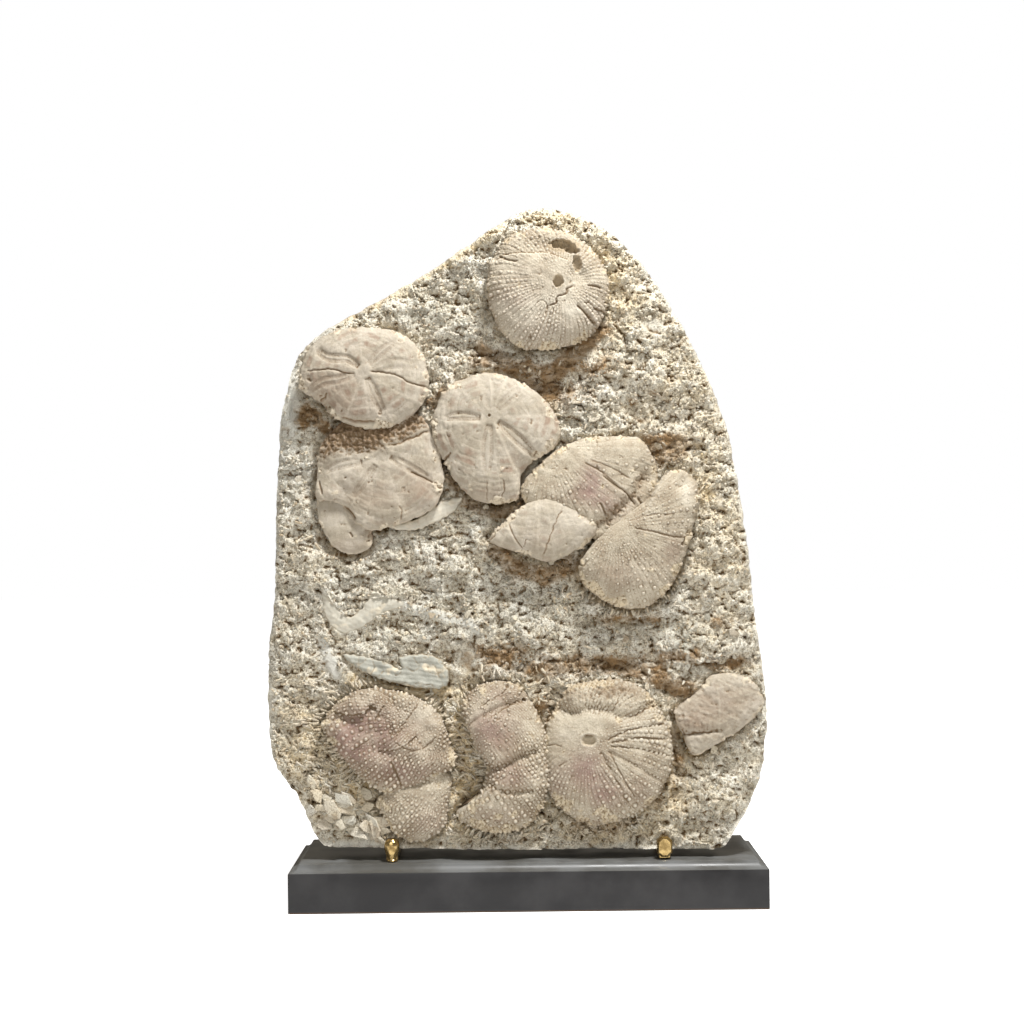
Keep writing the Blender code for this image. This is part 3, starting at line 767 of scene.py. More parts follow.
# The slab of limestone that holds the fossils
slabMake = {
    "outline": [(-166, 55), (-154, 48), (-113, 47), (-22, 45), (60, 44.5), (130, 44), (150, 44), (156, 47),
        (163, 58), (179, 83), (189, 120), (190.8, 160), (183, 224), (175, 295), (161, 378), (131, 449),
        (103, 497), (70, 532), (38, 548), (7, 551.6), (-25, 536), (-57, 513), (-105, 485), (-168, 449),
        (-188, 410), (-196, 346), (-199, 252), (-205, 192), (-202, 121), (-182, 86)],
    "backY": 8,
    "spacing": 1.2,
    "hiddenSpacing": 6,
    "edgeSpacing": 1.6,
    "rearSpacing": 8,
    "nibble": 1.0,          # how far the broken edge wanders inward
    "lump": 3.2,
    "edgeFall": 5,
    "edgeWidth": 9,
    "moat": 6.0,            # cut away beside a fossil
    "socket": 9,            # how far the stone lies back under a fossil
    "strata": (-186, 396, 12, 44, 1),
    "hollows": [(115, 361, 22, 12, 3), (68, 190, 34, 8, 6), (159, 193, 26, 7, 5), (-38, 118, 12, 22, 4),
        (30, 410, 30, 9, 4), (22, 165, 14, 13, 6), (18, 250, 34, 8, 3), (84, 222, 34, 9, 5),
        (-95, 226, 30, 9, 3), (120, 100, 14, 26, 4)],
    "swells": [(-110, 470, 46, 16, 4), (-175, 300, 20, 60, 3), (-10, 300, 40, 22, 4), (150, 270, 24, 60, 4),
        (90, 440, 40, 40, 4), (-120, 200, 40, 12, 3), (-30, 215, 50, 16, 4), (150, 75, 24, 20, 3),
        (-178, 130, 14, 50, 3), (0, 395, 16, 10, 3)],
    # crumbs broken out of the face: size, rise, seed
    "crumbs": [(21, 2.6, 106), (11, 2.4, 111), (5.4, 1.3, 121), (3.0, 0.9, 131)],
    "pits": {"size": 8, "from": 0.38, "depth": 7.0},
    # smooth worn places, earthy brown hollows, golden sand, bluish white and grey places:
    # x, z, half width, half height, share
    "smooth": [(-87, 466, 26, 12, 0.35), (-183, 396, 10, 34, 0.9), (104, 456, 12, 7, 0.7),
        (53, 440, 26, 14, 0.6), (-75, 321, 26, 12, 0.3), (-155, 194, 9, 13, 0.9), (-45, 195, 10, 14, 0.8),
        (75, 330, 22, 16, 0.8), (-140, 51, 28, 4, 0.9), (-78, 174, 30, 6, 0.6)],
    "brown": [(120, 197, 26, 8, 1), (152, 222, 16, 8, 0.7), (108, 366, 20, 9, 1.2), (115, 361, 22, 10, 1.6),
        (18, 406, 38, 14, 1.2), (52, 426, 30, 11, 0.7), (60, 190, 40, 8, 1.3), (22, 186, 22, 10, 1.2),
        (104, 180, 16, 10, 1), (158, 190, 26, 6, 1.3), (12, 160, 9, 14, 1.1), (20, 262, 40, 7, 0.9),
        (84, 226, 36, 8, 0.8), (62, 452, 12, 8, 1), (-24, 197, 42, 14, 1), (-66, 398, 7, 16, 0.7),
        (118, 108, 7, 26, 0.8), (-140, 280, 26, 6, 0.6), (132, 318, 12, 14, 0.5), (-172, 386, 9, 12, 1.2),
        (-54, 330, 9, 14, 0.8), (104, 404, 6, 4, 0.9), (93, 382, 5, 3, 0.8), (86, 398, 4, 5, 0.7),
        (-30, 404, 20, 6, 0.6), (-12, 52, 30, 5, 0.4)],
    "golden": [(74, 482, 26, 40, 0.5), (-110, 110, 90, 60, 0.45), (-50, 118, 13, 60, 0.9),
        (-96, 174, 50, 7, 0.9), (-134, 112, 18, 22, 0.7), (112, 92, 20, 34, 0.5), (30, 545, 60, 14, 0.6),
        (66, 505, 14, 30, 0.5), (-60, 62, 30, 10, 0.5), (80, 60, 60, 8, 0.35), (-176, 130, 20, 60, 0.4),
        (-150, 470, 40, 14, 0.35), (138, 350, 20, 30, 0.3), (0, 116, 160, 62, 0.6), (155, 270, 38, 95, 0.35),
        (125, 410, 60, 90, 0.3)],
    "blueWhite": [(-87, 466, 32, 13, 0.2), (-184, 396, 12, 40, 1), (104, 456, 15, 8, 0.7),
        (-75, 321, 30, 12, 0.4), (-155, 194, 10, 14, 0.8), (130, 330, 10, 30, 0.3), (-180, 330, 20, 40, 0.4),
        (-140, 51, 30, 5, 0.6)],
    "grey": [(122, 205, 22, 24, 0.8), (-110, 212, 40, 10, 0.3), (120, 60, 26, 12, 0.4),
        (-10, 225, 60, 18, 0.25), (-45, 195, 9, 12, 0.8), (-80, 468, 30, 14, 0.6), (-186, 380, 10, 24, 0.5),
        (60, 360, 40, 30, 0.2), (-60, 250, 90, 30, 0.2)],
    # curved strips of earthy brown and of golden sand: path, half width, share
    "soil": [([(-42, 440), (-22, 432), (4, 421), (26, 424), (46, 440), (66, 462)], 9, 1),
        ([(-4, 424), (12, 416), (26, 404)], 10, 1),
        ([(-176, 398), (-164, 386), (-154, 376), (-146, 368)], 5.5, 1),
        ([(-76, 402), (-70, 396), (-58, 410)], 5, 0.8), ([(-68, 362), (-60, 338), (-50, 330)], 5, 0.8),
        ([(-52, 322), (-30, 312), (-6, 312), (4, 326)], 5, 0.8), ([(98, 362), (110, 356), (126, 362)], 9, 1),
        ([(-30, 284), (-8, 268), (20, 261), (44, 276)], 8, 0.9), ([(58, 298), (74, 306), (92, 326)], 4, 0.8),
        ([(26, 188), (58, 190), (90, 184), (116, 172), (136, 166)], 7.5, 1), ([(14, 154), (22, 140)], 5, 0.9),
        ([(116, 142), (112, 110), (98, 76)], 6, 0.6), ([(32, 66), (60, 60), (86, 68)], 5, 0.6),
        ([(-166, 456), (-140, 470), (-106, 484)], 4, 0.5)],
    "sand": [([(-144, 180), (-110, 174), (-72, 168), (-56, 172)], 6, 0.9), ([(-146, 98), (-132, 88)], 6, 1),
        ([(-62, 152), (-46, 128), (-42, 100), (-52, 76)], 9, 1), ([(138, 330), (146, 318)], 8, 0.9),
        ([(-160, 462), (-120, 480), (-60, 512), (-10, 544)], 7, 0.75),
        ([(20, 60), (60, 56), (100, 62)], 8, 0.5), ([(66, 524), (84, 490), (100, 470)], 7, 0.35)],
    # smooth pale bands of shell that lie flush with the stone: path, half width, rise
    "bands": [([(-112, 240), (-98, 238), (-84, 234), (-64, 229), (-44, 224)], 5, 1.6),
        ([(-44, 224), (-36, 214), (-38, 200)], 4, 1.2), ([(-160, 210), (-156, 198), (-150, 184)], 5, 1.4)],
}

# The broken front edge wanders in from the smooth outline
smoothSlabLoop = turnedLeft(smoothCurve(slabMake["outline"], slabMake["edgeSpacing"]))
nibble = smoothStep(55, 80, smoothSlabLoop[:, 1]) * (1 + roughNoise(*smoothSlabLoop.T, 9, 4, 183))
nibble = np.clip(slabMake["nibble"] * nibble, 0, 3)
slabLoop = smoothSlabLoop - outwardWays(smoothSlabLoop) * nibble[:, None]
coarseSlabLoop = smoothCurve(slabMake["outline"], 6)
buriedLoops = []        # outline of each fossil and flake, and how deep the stone is cut round it


# Which points lie on the slab, at least this far from its edge
def onSlab(points, margin):
    return insideLoop(*points.T, coarseSlabLoop) & (loopDistance(*points.T, coarseSlabLoop) > margin)


# How far each point lies inside a buried piece's outline (positive) or outside it (negative), in mm, and how
# deep the stone was cut away there: most at a piece's lower left side, and not at all round a flush one
# The same share of the cut also sets the painted shade beside each piece
def buriedDepth(x, z):
    depth = np.full(np.shape(x), -40.0)
    lower = np.zeros(np.shape(x))
    for loop, cut in buriedLoops:
        low = loop.min(axis=0) - 12
        high = loop.max(axis=0) + 12
        near = (x > low[0]) & (x < high[0]) & (z > low[1]) & (z < high[1])
        if not near.any():
            continue
        distance = loopDistance(x[near], z[near], loop)
        distance = np.where(insideLoop(x[near], z[near], loop), distance, -distance)
        fromX = x[near] - np.mean(loop[:, 0])
        fromZ = z[near] - np.mean(loop[:, 1])
        side = np.clip(0.35 - (0.9 * fromZ + 0.35 * fromX) / (np.hypot(fromX, fromZ) + 1), 0, 1.2)
        lower[near] = np.where(distance > depth[near], cut * (side + 0.15), lower[near])
        depth[near] = np.maximum(depth[near], distance)
    return depth, lower


# Share and rise of the flush bands of shell
def slabBands(x, z):
    share = np.zeros(np.shape(x))
    rise = np.zeros(np.shape(x))
    for points, halfWidth, lift in slabMake["bands"]:
        distance, _, _ = nearCurve(x, z, points, 4)
        here = smoothStep(halfWidth, halfWidth * 0.5, distance + 0.8 * waveNoise(x, z, 6, 151))
        share = np.maximum(share, here)
        rise = np.maximum(rise, lift * here)
    return share, rise


# Share of soil or sand over the strips of one kind, with ragged edges
def stripShare(x, z, strips):
    total = np.zeros(np.shape(x))
    ragged = 1 + 0.45 * roughNoise(x, z, 9, 3, 155)
    for points, halfWidth, share in strips:
        distance, along, _ = nearCurve(x, z, points, 4)
        here = smoothStep(1.25, 0.6, distance * ragged / halfWidth)
        ends = smoothStep(-0.02, 0.08, along) * smoothStep(1.02, 0.92, along)
        total = np.maximum(total, share * here * ends)
    return total


# Share of the deep pits between crumbs
def pitShare(x, z):
    pits = slabMake["pits"]
    return np.clip(roughNoise(x, z * 1.3, pits["size"], 2, 145) - pits["from"], 0, 1)


def slabHeight(x, z):
    depth, lower = buriedDepth(x, z)
    height = slabMake["lump"] * (waveNoise(x, z, 36, 101) + 0.8 * waveNoise(x, z, 15, 102))
    height = height + ovalMounds(x, z, slabMake["swells"]) - ovalMounds(x, z, slabMake["hollows"])
    banded, bandRise = slabBands(x, z)
    rough = 1 - np.clip(ovalMounds(x, z, slabMake["smooth"]), 0, 0.9)
    rough = np.minimum(rough, 1 - 0.9 * banded)
    bentX = x + 1.5 * waveNoise(x, z, 7, 103)
    bentZ = z + 1.5 * waveNoise(x, z, 7, 104)
    patchy = 0.75 + 0.5 * waveNoise(x, z, 30, 105)
    for size, rise, seed in slabMake["crumbs"]:
        value, tilt = crumbCells(bentX, bentZ * 1.2, size, seed)
        height = height + patchy * rough * rise * (1.3 * (value - 0.5) + tilt)
    height = height + rough * (0.5 * roughNoise(x, z, 4, 2, 141) - slabMake["pits"]["depth"] * pitShare(x, z))
    height = height + bandRise
    height = height + 1.6 * stripShare(x, z, slabMake["soil"]) * roughNoise(0.5 * x, 1.3 * z, 5, 3, 156)
    edge = loopDistance(x, z, coarseSlabLoop)
    strata = ovalShare(x, z, [slabMake["strata"]])
    height = height + 0.7 * strata * np.sin(edge * 2.4 + waveNoise(x, z, 20, 146))
    footless = smoothStep(60, 80, z)
    height = height - slabMake["edgeFall"] * footless * (1 - np.minimum(1, edge / slabMake["edgeWidth"])) ** 2
    height = height - slabMake["moat"] * ridgeOf(np.maximum(-depth, 0), 4.5) * lower
    under = smoothStep(0.3, 2.5, depth)
    return height * (1 - under) - slabMake["socket"] * under


def makeSlab(material):
    grid = wellInside(scatteredGrid(slabLoop, slabMake["spacing"], 5), slabLoop, slabLoop[::2], 0.8)
    seen = grid[buriedDepth(*grid.T)[0] < 1.6]
    hidden = scatteredGrid(slabLoop, slabMake["hiddenSpacing"], 6)
    hidden = hidden[buriedDepth(*hidden.T)[0] > 4]
    flat, triangles, edge = fillLoop(slabLoop, np.vstack([seen, hidden]))
    x, z = flat.T
    verts = standing(x, z, slabHeight(x, z))

    walked = walkedOver(*np.diff(slabLoop, axis=0).T)
    outward = outwardWays(slabLoop)
    rings = []
    for share in np.linspace(0, 1, 17)[1:]:
        y = verts[edge, 1] * (1 - share) + slabMake["backY"] * share
        value, tilt = crumbCells(walked, y, 7, 161)
        inward = 0.9 + 0.6 * value + 0.7 * tilt
        belly = 0.8 * math.sin(math.pi * min(1, share * 1.02))
        inward = inward + belly * (1 + roughNoise(walked, y, 16, 3, 162))
        inward = np.where(share > 0.99, 0.6, inward) * smoothStep(0, 0.06, share)
        fade = smoothStep(0, 0.4, share)        # the nibbled front edge runs out towards the back
        way = slabLoop * (1 - fade) + smoothSlabLoop * fade - outward * inward[:, None]
        rings.append(np.stack([way[:, 0], y, way[:, 1]], axis=1))
    rear = wellInside(scatteredGrid(slabLoop, slabMake["rearSpacing"], 8), slabLoop, coarseSlabLoop, 6)
    front = len(verts)
    verts, triangles = closeBehind(verts, triangles, edge, rings, rear)
    sawn = verts[-len(rear):]       # the rear face is sawn: shallow marks run across it
    marks = waveNoise(0.12 * sawn[:, 0] + 0.04 * sawn[:, 2], sawn[:, 2] - 0.3 * sawn[:, 0], 12, 181)
    sawn[:, 1] -= 0.5 + 0.35 * marks + 0.25 * waveNoise(sawn[:, 0], sawn[:, 2], 40, 182)

    extra = len(verts) - front
    depth, lower = buriedDepth(x, z)
    mottle = roughNoise(x, z, 10, 4, 171)
    earthy = smoothStep(0.25, 0.95, ovalMounds(x, z, slabMake["brown"]) * (1 + 0.6 * mottle) + 0.34 * mottle)
    earthy = np.maximum(earthy, stripShare(x, z, slabMake["soil"]) * (0.9 + 0.3 * mottle))
    earthy = np.maximum(earthy, np.clip(1.6 * pitShare(x, z), 0, 0.6))
    beside = ridgeOf(np.maximum(-depth, 0), 3.6)
    golden = ovalMounds(x, z, slabMake["golden"]) * (1 + 0.9 * mottle) + 0.45 * beside * lower
    golden = np.clip(np.maximum(golden, stripShare(x, z, slabMake["sand"])), 0, 1)
    # Painted shade beside each piece's lower side, where the piece's shadow falls
    shade = 0.7 * beside * smoothStep(0.35, 1.0, lower) * (1 + 0.5 * mottle) * (1 - 0.7 * golden)
    banded, _ = slabBands(x, z)
    # Depth below the surroundings gives painted shade in the hollows; earthy stains and the painted shade
    # share the second mask
    masks = {
        "hollow": np.clip(hollowDepth(verts, triangles, outwardNormals(verts, triangles), 14) / 1.15, -1, 1),
        "stain": withBack(np.clip(np.maximum(earthy, shade), 0, 1), extra, 0.3),
        "pale": withBack(np.clip(ovalMounds(x, z, slabMake["blueWhite"]) + 0.9 * banded, 0, 1), extra),
        "tint": withBack(ovalShare(x, z, slabMake["grey"]), extra),
        "crust": withBack(golden, extra, 0.2),
    }
    piece = makePiece("matrix", verts, triangles, "matrix", material, masks)
    piece.data.set_sharp_from_angle(angle=math.radians(70))
    return piece


# Turns for many small pieces at once, one 3 by 3 matrix each
def randomTurns(rng, count):
    q = rng.normal(size=(count, 4))
    q /= np.linalg.norm(q, axis=1)[:, None]
    w, a, b, c = q.T
    rows = [[1 - 2 * (b * b + c * c), 2 * (a * b - c * w), 2 * (a * c + b * w)],
            [2 * (a * b + c * w), 1 - 2 * (a * a + c * c), 2 * (b * c - a * w)],
            [2 * (a * c - b * w), 2 * (b * c + a * w), 1 - 2 * (a * a + b * b)]]
    return np.array(rows).transpose(2, 0, 1)


# Many small pieces joined in one mesh, from the corners of each, its faces and its mask values
def makeJoined(name, shaped, faces, material, masks, smooth=True):
    count, corners, _ = shaped.shape
    triangles = np.array(faces)[None] + (np.arange(count) * corners)[:, None, None]
    masks = {mask: np.repeat(np.broadcast_to(values, count), corners) for mask, values in masks.items()}
    triangles = triangles.reshape(-1, 3)
    return makePiece(name, shaped.reshape(-1, 3), triangles, None, material, masks, smooth)


# Loose grit stuck all over the face: broken crumbs of uneven shape
gritMake = {
    "crumbs": 12500,
    "batches": 2,
    "size": (0.65, 1.9),    # smallest and largest half width
    "flatness": (0.5, 0.85),
    "sink": 0.35,
    "seed": 21,
}


def placesOnSlab(rng, count, clearance):
    places = rng.uniform(slabLoop.min(axis=0), slabLoop.max(axis=0), (count * 3, 2))
    places = places[onSlab(places, 2.5)]
    calm = ovalShare(*places.T, slabMake["smooth"])
    keep = (buriedDepth(*places.T)[0] < clearance) & (rng.uniform(0, 1, len(places)) > calm * 1.3)
    return places[keep][:count]


# Share of one earth or sand over its ovals and strips
def coveredShare(x, z, ovals, strips):
    return np.maximum(ovalShare(x, z, slabMake[ovals]), stripShare(x, z, slabMake[strips]))


def makeGrit(name, seed, material):
    rng = np.random.default_rng(seed)
    x, z = placesOnSlab(rng, gritMake["crumbs"], -0.2).T
    count = len(x)
    low, high = gritMake["size"]
    half = low + (high - low) * rng.uniform(0, 1, count) ** 2.6
    spans = ((0.8, 1.35), gritMake["flatness"], (0.75, 1.1))
    sizes = half[:, None] * np.stack([rng.uniform(*span, count) for span in spans], axis=1)
    middles = standing(x, z, slabHeight(x, z) + half * (0.5 - gritMake["sink"]))
    earthy = coveredShare(x, z, "brown", "soil") * 0.85 + rng.uniform(0, 1, count) ** 3.5 * 0.6
    golden = coveredShare(x, z, "golden", "sand") * 0.8 + rng.uniform(0, 1, count) ** 5 * 0.6
    turns = randomTurns(rng, count)
    corners = np.array([(1, 0, 0), (-1, 0, 0), (0, 1, 0), (0, -1, 0), (0, 0, 1), (0, 0, -1)], float)
    shaped = corners[None] * rng.uniform(0.7, 1.2, (count, 6, 1)) * sizes[:, None, :]
    shaped = np.einsum("nij,nkj->nki", turns, shaped) + middles[:, None, :]
    faces = [(0, 2, 4), (2, 1, 4), (1, 3, 4), (3, 0, 4), (2, 0, 5), (1, 2, 5), (3, 1, 5), (0, 3, 5)]
    masks = {
        "hollow": rng.uniform(-0.3, 0.4, count),
        "stain": earthy,
        "pale": rng.uniform(0, 0.25, count),
        "tint": rng.uniform(0, 1, count) ** 6,
        "crust": golden,
    }
    return makeJoined(name, shaped, faces, material, masks)


# Loose spines: fields that lie on the face (x, z, half width, half height, how many, direction, spread), and
# fringes that still stand round a fossil (from one bearing to another, how many, shortest, longest)
spineMake = {
    "fields": [(-178, 135, 26, 44, 150, -18, 28), (-50, 152, 12, 14, 40, -14, 26),
        (-50, 116, 10, 30, 50, 4, 30), (-30, 55, 34, 7, 60, -20, 40), (50, 60, 46, 8, 60, 10, 50),
        (-150, 92, 22, 20, 50, 20, 60), (0, 175, 40, 14, 30, 20, 70), (70, 255, 50, 26, 30, 10, 80),
        (-170, 240, 26, 90, 40, 0, 90), (140, 350, 40, 90, 40, 0, 90), (-20, 300, 170, 150, 70, 0, 90),
        (60, 415, 40, 40, 20, 60, 40)],
    "fringes": [("urchin_lower_left", 110, 235, 90, 4, 8), ("urchin_lower_left", -70, 50, 40, 4, 8),
        ("urchin_lower_middle", 95, 250, 66, 4, 8), ("urchin_lower_middle", 250, 300, 14, 3, 5),
        ("urchin_lower_right", 235, 310, 12, 3, 5), ("urchin_right", 230, 320, 26, 3, 6),
        ("urchin_lower_left_fragment", 170, 290, 20, 4, 7)],
    "length": (3.0, 7.5),
    "radius": (0.75, 1.35),
    "sides": 5,
    "rings": [(-1, 0.7), (-0.85, 1.0), (0, 0.9), (0.85, 0.62), (1, 0.35)],     # place along, thickness
    "seed": 31,
}


# Bent tapering rods between two ends: the corners of each rod, and the faces that each has
def rodShapes(starts, ends, radius, bend):
    sides = spineMake["sides"]
    rings = spineMake["rings"]
    along, share = np.repeat(rings, sides, axis=0).T
    around = np.tile(np.arange(sides) / sides * fullTurn, len(rings))
    last = (len(rings) - 1) * sides
    faces = []
    for ring in range(0, last, sides):
        for side in range(sides):
            a = ring + side
            b = ring + (side + 1) % sides
            faces += [(a, b + sides, b), (a, a + sides, b + sides)]
    for side in range(1, sides - 1):
        faces += [(0, side, side + 1), (last, last + side + 1, last + side)]
    axis = (ends - starts) / 2
    side = np.cross(axis, np.array([0, 1, 0.02]))
    side /= np.linalg.norm(side, axis=1)[:, None]
    up = np.cross(axis, side)
    up /= np.linalg.norm(up, axis=1)[:, None]
    thick = radius[:, None] * share
    shaped = ((starts + ends) / 2)[:, None, :] + along[None, :, None] * axis[:, None, :]
    sideways = bend[:, None] * (1 - along ** 2) + thick * np.cos(around)
    shaped = shaped + sideways[..., None] * side[:, None, :]
    return shaped + (thick * np.sin(around))[..., None] * up[:, None, :], faces


def makeSpines(material):
    rng = np.random.default_rng(spineMake["seed"])
    rods = []
    for cx, cz, halfWidth, halfHeight, count, direction, spread in spineMake["fields"]:
        spots = rng.uniform(-1, 1, (count, 2)) * (halfWidth, halfHeight) + (cx, cz)
        angle = np.radians(direction + rng.normal(0, spread, count))
        step = unitWay(angle) * rng.uniform(*spineMake["length"], (count, 1)) / 2
        rods.append((spots - step, spots + step, rng.uniform(0, 1, count)))
    for owner, fromAngle, toAngle, count, shortest, longest in spineMake["fringes"]:
        look = fossils[owner]
        hub = middleOf(look)
        radiusAt = distanceOverLoop(smoothCurve(look["outline"], 2), hub)
        angle = np.radians(np.linspace(fromAngle, toAngle, count) + rng.normal(0, 1.5, count))
        radius = radiusAt(angle) + rng.uniform(-0.5, 3.5, count)
        root = hub + unitWay(angle) * radius[:, None]
        lean = angle + np.radians(rng.normal(0, 13, count))
        tip = root + unitWay(lean) * rng.uniform(shortest, longest, (count, 1))
        rods.append((root, tip, look["rim"] * rng.uniform(0.0, 0.6, count)))
    inner, outer, lift = (np.concatenate(part) for part in zip(*rods))
    middle = (inner + outer) / 2
    keep = (buriedDepth(*middle.T)[0] < 0) & (buriedDepth(*outer.T)[0] < 0)
    keep &= onSlab(middle, 0) & onSlab(inner, 3) & onSlab(outer, 3)
    inner, outer, middle, lift = inner[keep], outer[keep], middle[keep], lift[keep]
    count = len(inner)
    radius = rng.uniform(*spineMake["radius"], count)
    ground = slabHeight(*middle.T) - 1
    starts = standing(*inner.T, np.maximum(slabHeight(*inner.T), ground) + lift + radius * 0.6)
    ends = standing(*outer.T, np.maximum(slabHeight(*outer.T), ground) + radius * 0.5)
    shaped, faces = rodShapes(starts, ends, radius, rng.normal(0, 0.35, count))
    soil = stripShare(*middle.T, slabMake["soil"])
    masks = {
        "hollow": 0.05,
        "stain": np.maximum(rng.uniform(0, 0.45, count), 0.8 * soil),
        "pale": rng.uniform(0, 0.2, count),
        "tint": 0,
        "crust": rng.uniform(0, 0.5, count),
    }
    return makeJoined("loose_spines", shaped, faces, material, masks)


# Broken plates of shell and test in the stone: x, z, half width, half height, turn in degrees, lean, lift
plateBitMake = {
    "placed": [(-154, 79, 15, 7.5, -52, 0.15, 2), (-127.5, 90.5, 5, 6, 60, 0.35, 3),
        (-120, 68, 16, 5, -10, 0.2, 2), (-137, 60, 12, 4, -18, 0.2, 1.5), (-162, 67, 8, 5, -30, 0.2, 1),
        (56, 385, 6, 5, 20, 0.2, 0.5), (17, 171, 4, 3.4, 10, 0.2, 1), (24, 165, 4, 3.2, -20, 0.2, 1),
        (19, 160, 3.6, 3, 15, 0.2, 1), (27, 157, 3.4, 3, -30, 0.2, 1.5), (15, 151, 3.6, 3.2, 0, 0.2, 1),
        (23, 149, 3.2, 3, 20, 0.2, 1), (34, 174, 5, 3, 10, 0.2, 1.5), (-182, 250, 5, 3, 40, 0.2, 1),
        (-70, 296, 7, 2.4, 25, 0.2, 1), (148, 121, 4.5, 4, 20, 0.3, 2.5), (-104, 50, 14, 4, 4, 0.2, 1),
        (-148, 66, 9, 5, -35, 0.3, 2.5), (-131, 76, 11, 5, -20, 0.3, 2), (-118, 56, 10, 5, 8, 0.3, 2.5),
        (-165, 90, 7, 4.5, -60, 0.3, 2), (-141, 88, 8, 4, -45, 0.3, 1.5), (-148, 54, 9, 4, -8, 0.25, 2),
        (-126, 80, 7, 4, 25, 0.3, 2.5), (-96, 54, 9, 4, 12, 0.3, 2), (-171, 78, 6, 4, -50, 0.3, 1.5)],
    "heap": {"middle": (-143, 75), "reach": (30, 22), "slope": -0.7, "count": 34, "size": (4, 10)},
    "loose": 240,
    "size": (1.4, 4.4),
    "thickness": 2.0,
    "corners": 6,
    "rings": ((1.0, -1.2), (1.0, 0.35), (0.86, 0.5)),      # inset and level of each ring
    "seed": 41,
}


def makePlateBits(material):
    rng = np.random.default_rng(plateBitMake["seed"])
    rows = list(plateBitMake["placed"])
    smallest, largest = plateBitMake["size"]
    for x, z in placesOnSlab(rng, plateBitMake["loose"], -1):
        half = smallest + (largest - smallest) * rng.uniform() ** 2.5
        rows.append((x, z, half, half * rng.uniform(0.35, 0.9), rng.uniform(-90, 90), 0.3, 0.6))
    heap = plateBitMake["heap"]
    for _ in range(heap["count"]):
        alongX, alongZ = rng.uniform(-1, 1, 2)
        half = rng.uniform(*heap["size"])
        x = heap["middle"][0] + heap["reach"][0] * alongX
        z = heap["middle"][1] + heap["reach"][1] * (0.5 * alongZ + heap["slope"] * alongX)
        rows.append((x, z, half, half * rng.uniform(0.35, 0.7), rng.uniform(-80, 10), 0.3,
                     rng.uniform(0, 2.5)))
    rows = np.array(rows)
    rows = rows[(buriedDepth(*rows.T[:2])[0] < 1) & onSlab(rows[:, :2], 0.9 * rows[:, 2])]
    x, z, halfWidth, halfHeight, turn, lean, lift = rows.T[..., None]
    count = len(rows)
    corners = plateBitMake["corners"]
    angle = (np.arange(corners) + rng.uniform(-0.42, 0.42, (count, corners))) / corners * fullTurn
    reach = rng.uniform(0.66, 1.12, (count, corners))
    thick = plateBitMake["thickness"] * np.clip(halfWidth / 5, 0.5, 1.4)
    rings = [np.stack([np.cos(angle) * reach * inset * halfWidth, level * thick + 0 * angle,
                       np.sin(angle) * reach * inset * halfHeight], axis=2)
             for inset, level in plateBitMake["rings"]]
    middle = np.stack([0 * x, 0.62 * thick, 0 * x], axis=2)
    alongX, level, alongZ = np.moveaxis(np.concatenate([*rings, middle], axis=1), 2, 0)
    level = level + alongX * rng.normal(0, 1, (count, 1)) * lean
    level = level + alongZ * rng.normal(0, 1, (count, 1)) * lean
    cosine = np.cos(np.radians(turn))
    sine = np.sin(np.radians(turn))
    height = slabHeight(x[:, 0], z[:, 0])[:, None] + lift + level
    shaped = standing(x + alongX * cosine - alongZ * sine, z + alongX * sine + alongZ * cosine, height)
    faces = []
    for side in range(corners):
        following = (side + 1) % corners
        for ring in (0, corners):
            faces += [(ring + side, ring + following, ring + corners + following),
                      (ring + side, ring + corners + following, ring + corners + side)]
        faces.append((2 * corners + side, 2 * corners + following, 3 * corners))
    faces += [(0, side + 1, side) for side in range(1, corners - 1)]
    masks = {
        "hollow": -0.1,
        "stain": rng.uniform(0, 1, count) ** 3 * 0.6,
        "pale": rng.uniform(0.0, 0.4, count),
        "tint": rng.uniform(0, 1, count) ** 4 * 0.6,
        "crust": rng.uniform(0, 0.4, count),
    }
    return makeJoined("broken_plates", shaped, faces, material, masks, smooth=False)


# A finished piece that stands for the node of the same name
def pieceFromBmesh(name, bm, material, sharpAngle):
    print(name, len(bm.faces), "faces")
    bmesh.ops.recalc_face_normals(bm, faces=bm.faces)
    mesh = bpy.data.meshes.new(name)
    bm.to_mesh(mesh)
    bm.free()
    mesh.shade_smooth()
    mesh.set_sharp_from_angle(angle=math.radians(sharpAngle))
    mesh.materials.append(material)
    piece = newObject(name + "_finished", mesh)
    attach(piece, "root")
    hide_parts(name)
    return piece


# Closed skin over a stack of rings that all have the same number of points
def skinRings(bm, rings):
    rows = [[bm.verts.new(Vector(point) * mm) for point in ring] for ring in rings]
    for row, following in zip(rows, rows[1:]):
        for i in range(len(row)):
            j = (i + 1) % len(row)
            bm.faces.new((row[i], row[j], following[j], following[i]))
    bm.faces.new(rows[0][::-1])
    bm.faces.new(rows[-1])


# The painted plinth: a block whose top edge is cut with a small fillet and a hollow moulding
plinthMake = {
    "width": 375,
    "depth": 140,
    "cornerRadius": 1.1,
    # how far in from the edge and how high each line of the section lies
    "section": [(0.7, 0), (0.2, 0.25), (0, 0.8), (0, 30.6), (0.15, 31.15), (0.55, 31.45), (1.1, 31.5),
        (1.7, 31.6), (2.9, 31.9), (4.3, 32.6), (5.6, 33.6), (6.6, 34.8), (7.2, 36), (7.4, 36.7), (7.6, 37.15),
        (8, 37.42), (8.5, 37.5)],
}


def makePlinth(material):
    bm = bmesh.new()
    radius = plinthMake["cornerRadius"]
    rings = []
    for inset, z in plinthMake["section"]:
        halfX = plinthMake["width"] / 2 - inset
        halfY = plinthMake["depth"] / 2 - inset
        ring = []
        for turn, sx, sy in ((0, 1, 1), (1, -1, 1), (2, -1, -1), (3, 1, -1)):
            for step in range(4):
                angle = math.pi / 2 * (turn + step / 3)
                ring.append((sx * (halfX - radius) + radius * math.cos(angle),
                             sy * (halfY - radius) + radius * math.sin(angle), z))
        rings.append(ring)
    skinRings(bm, rings)
    return pieceFromBmesh("base", bm, material, 22)


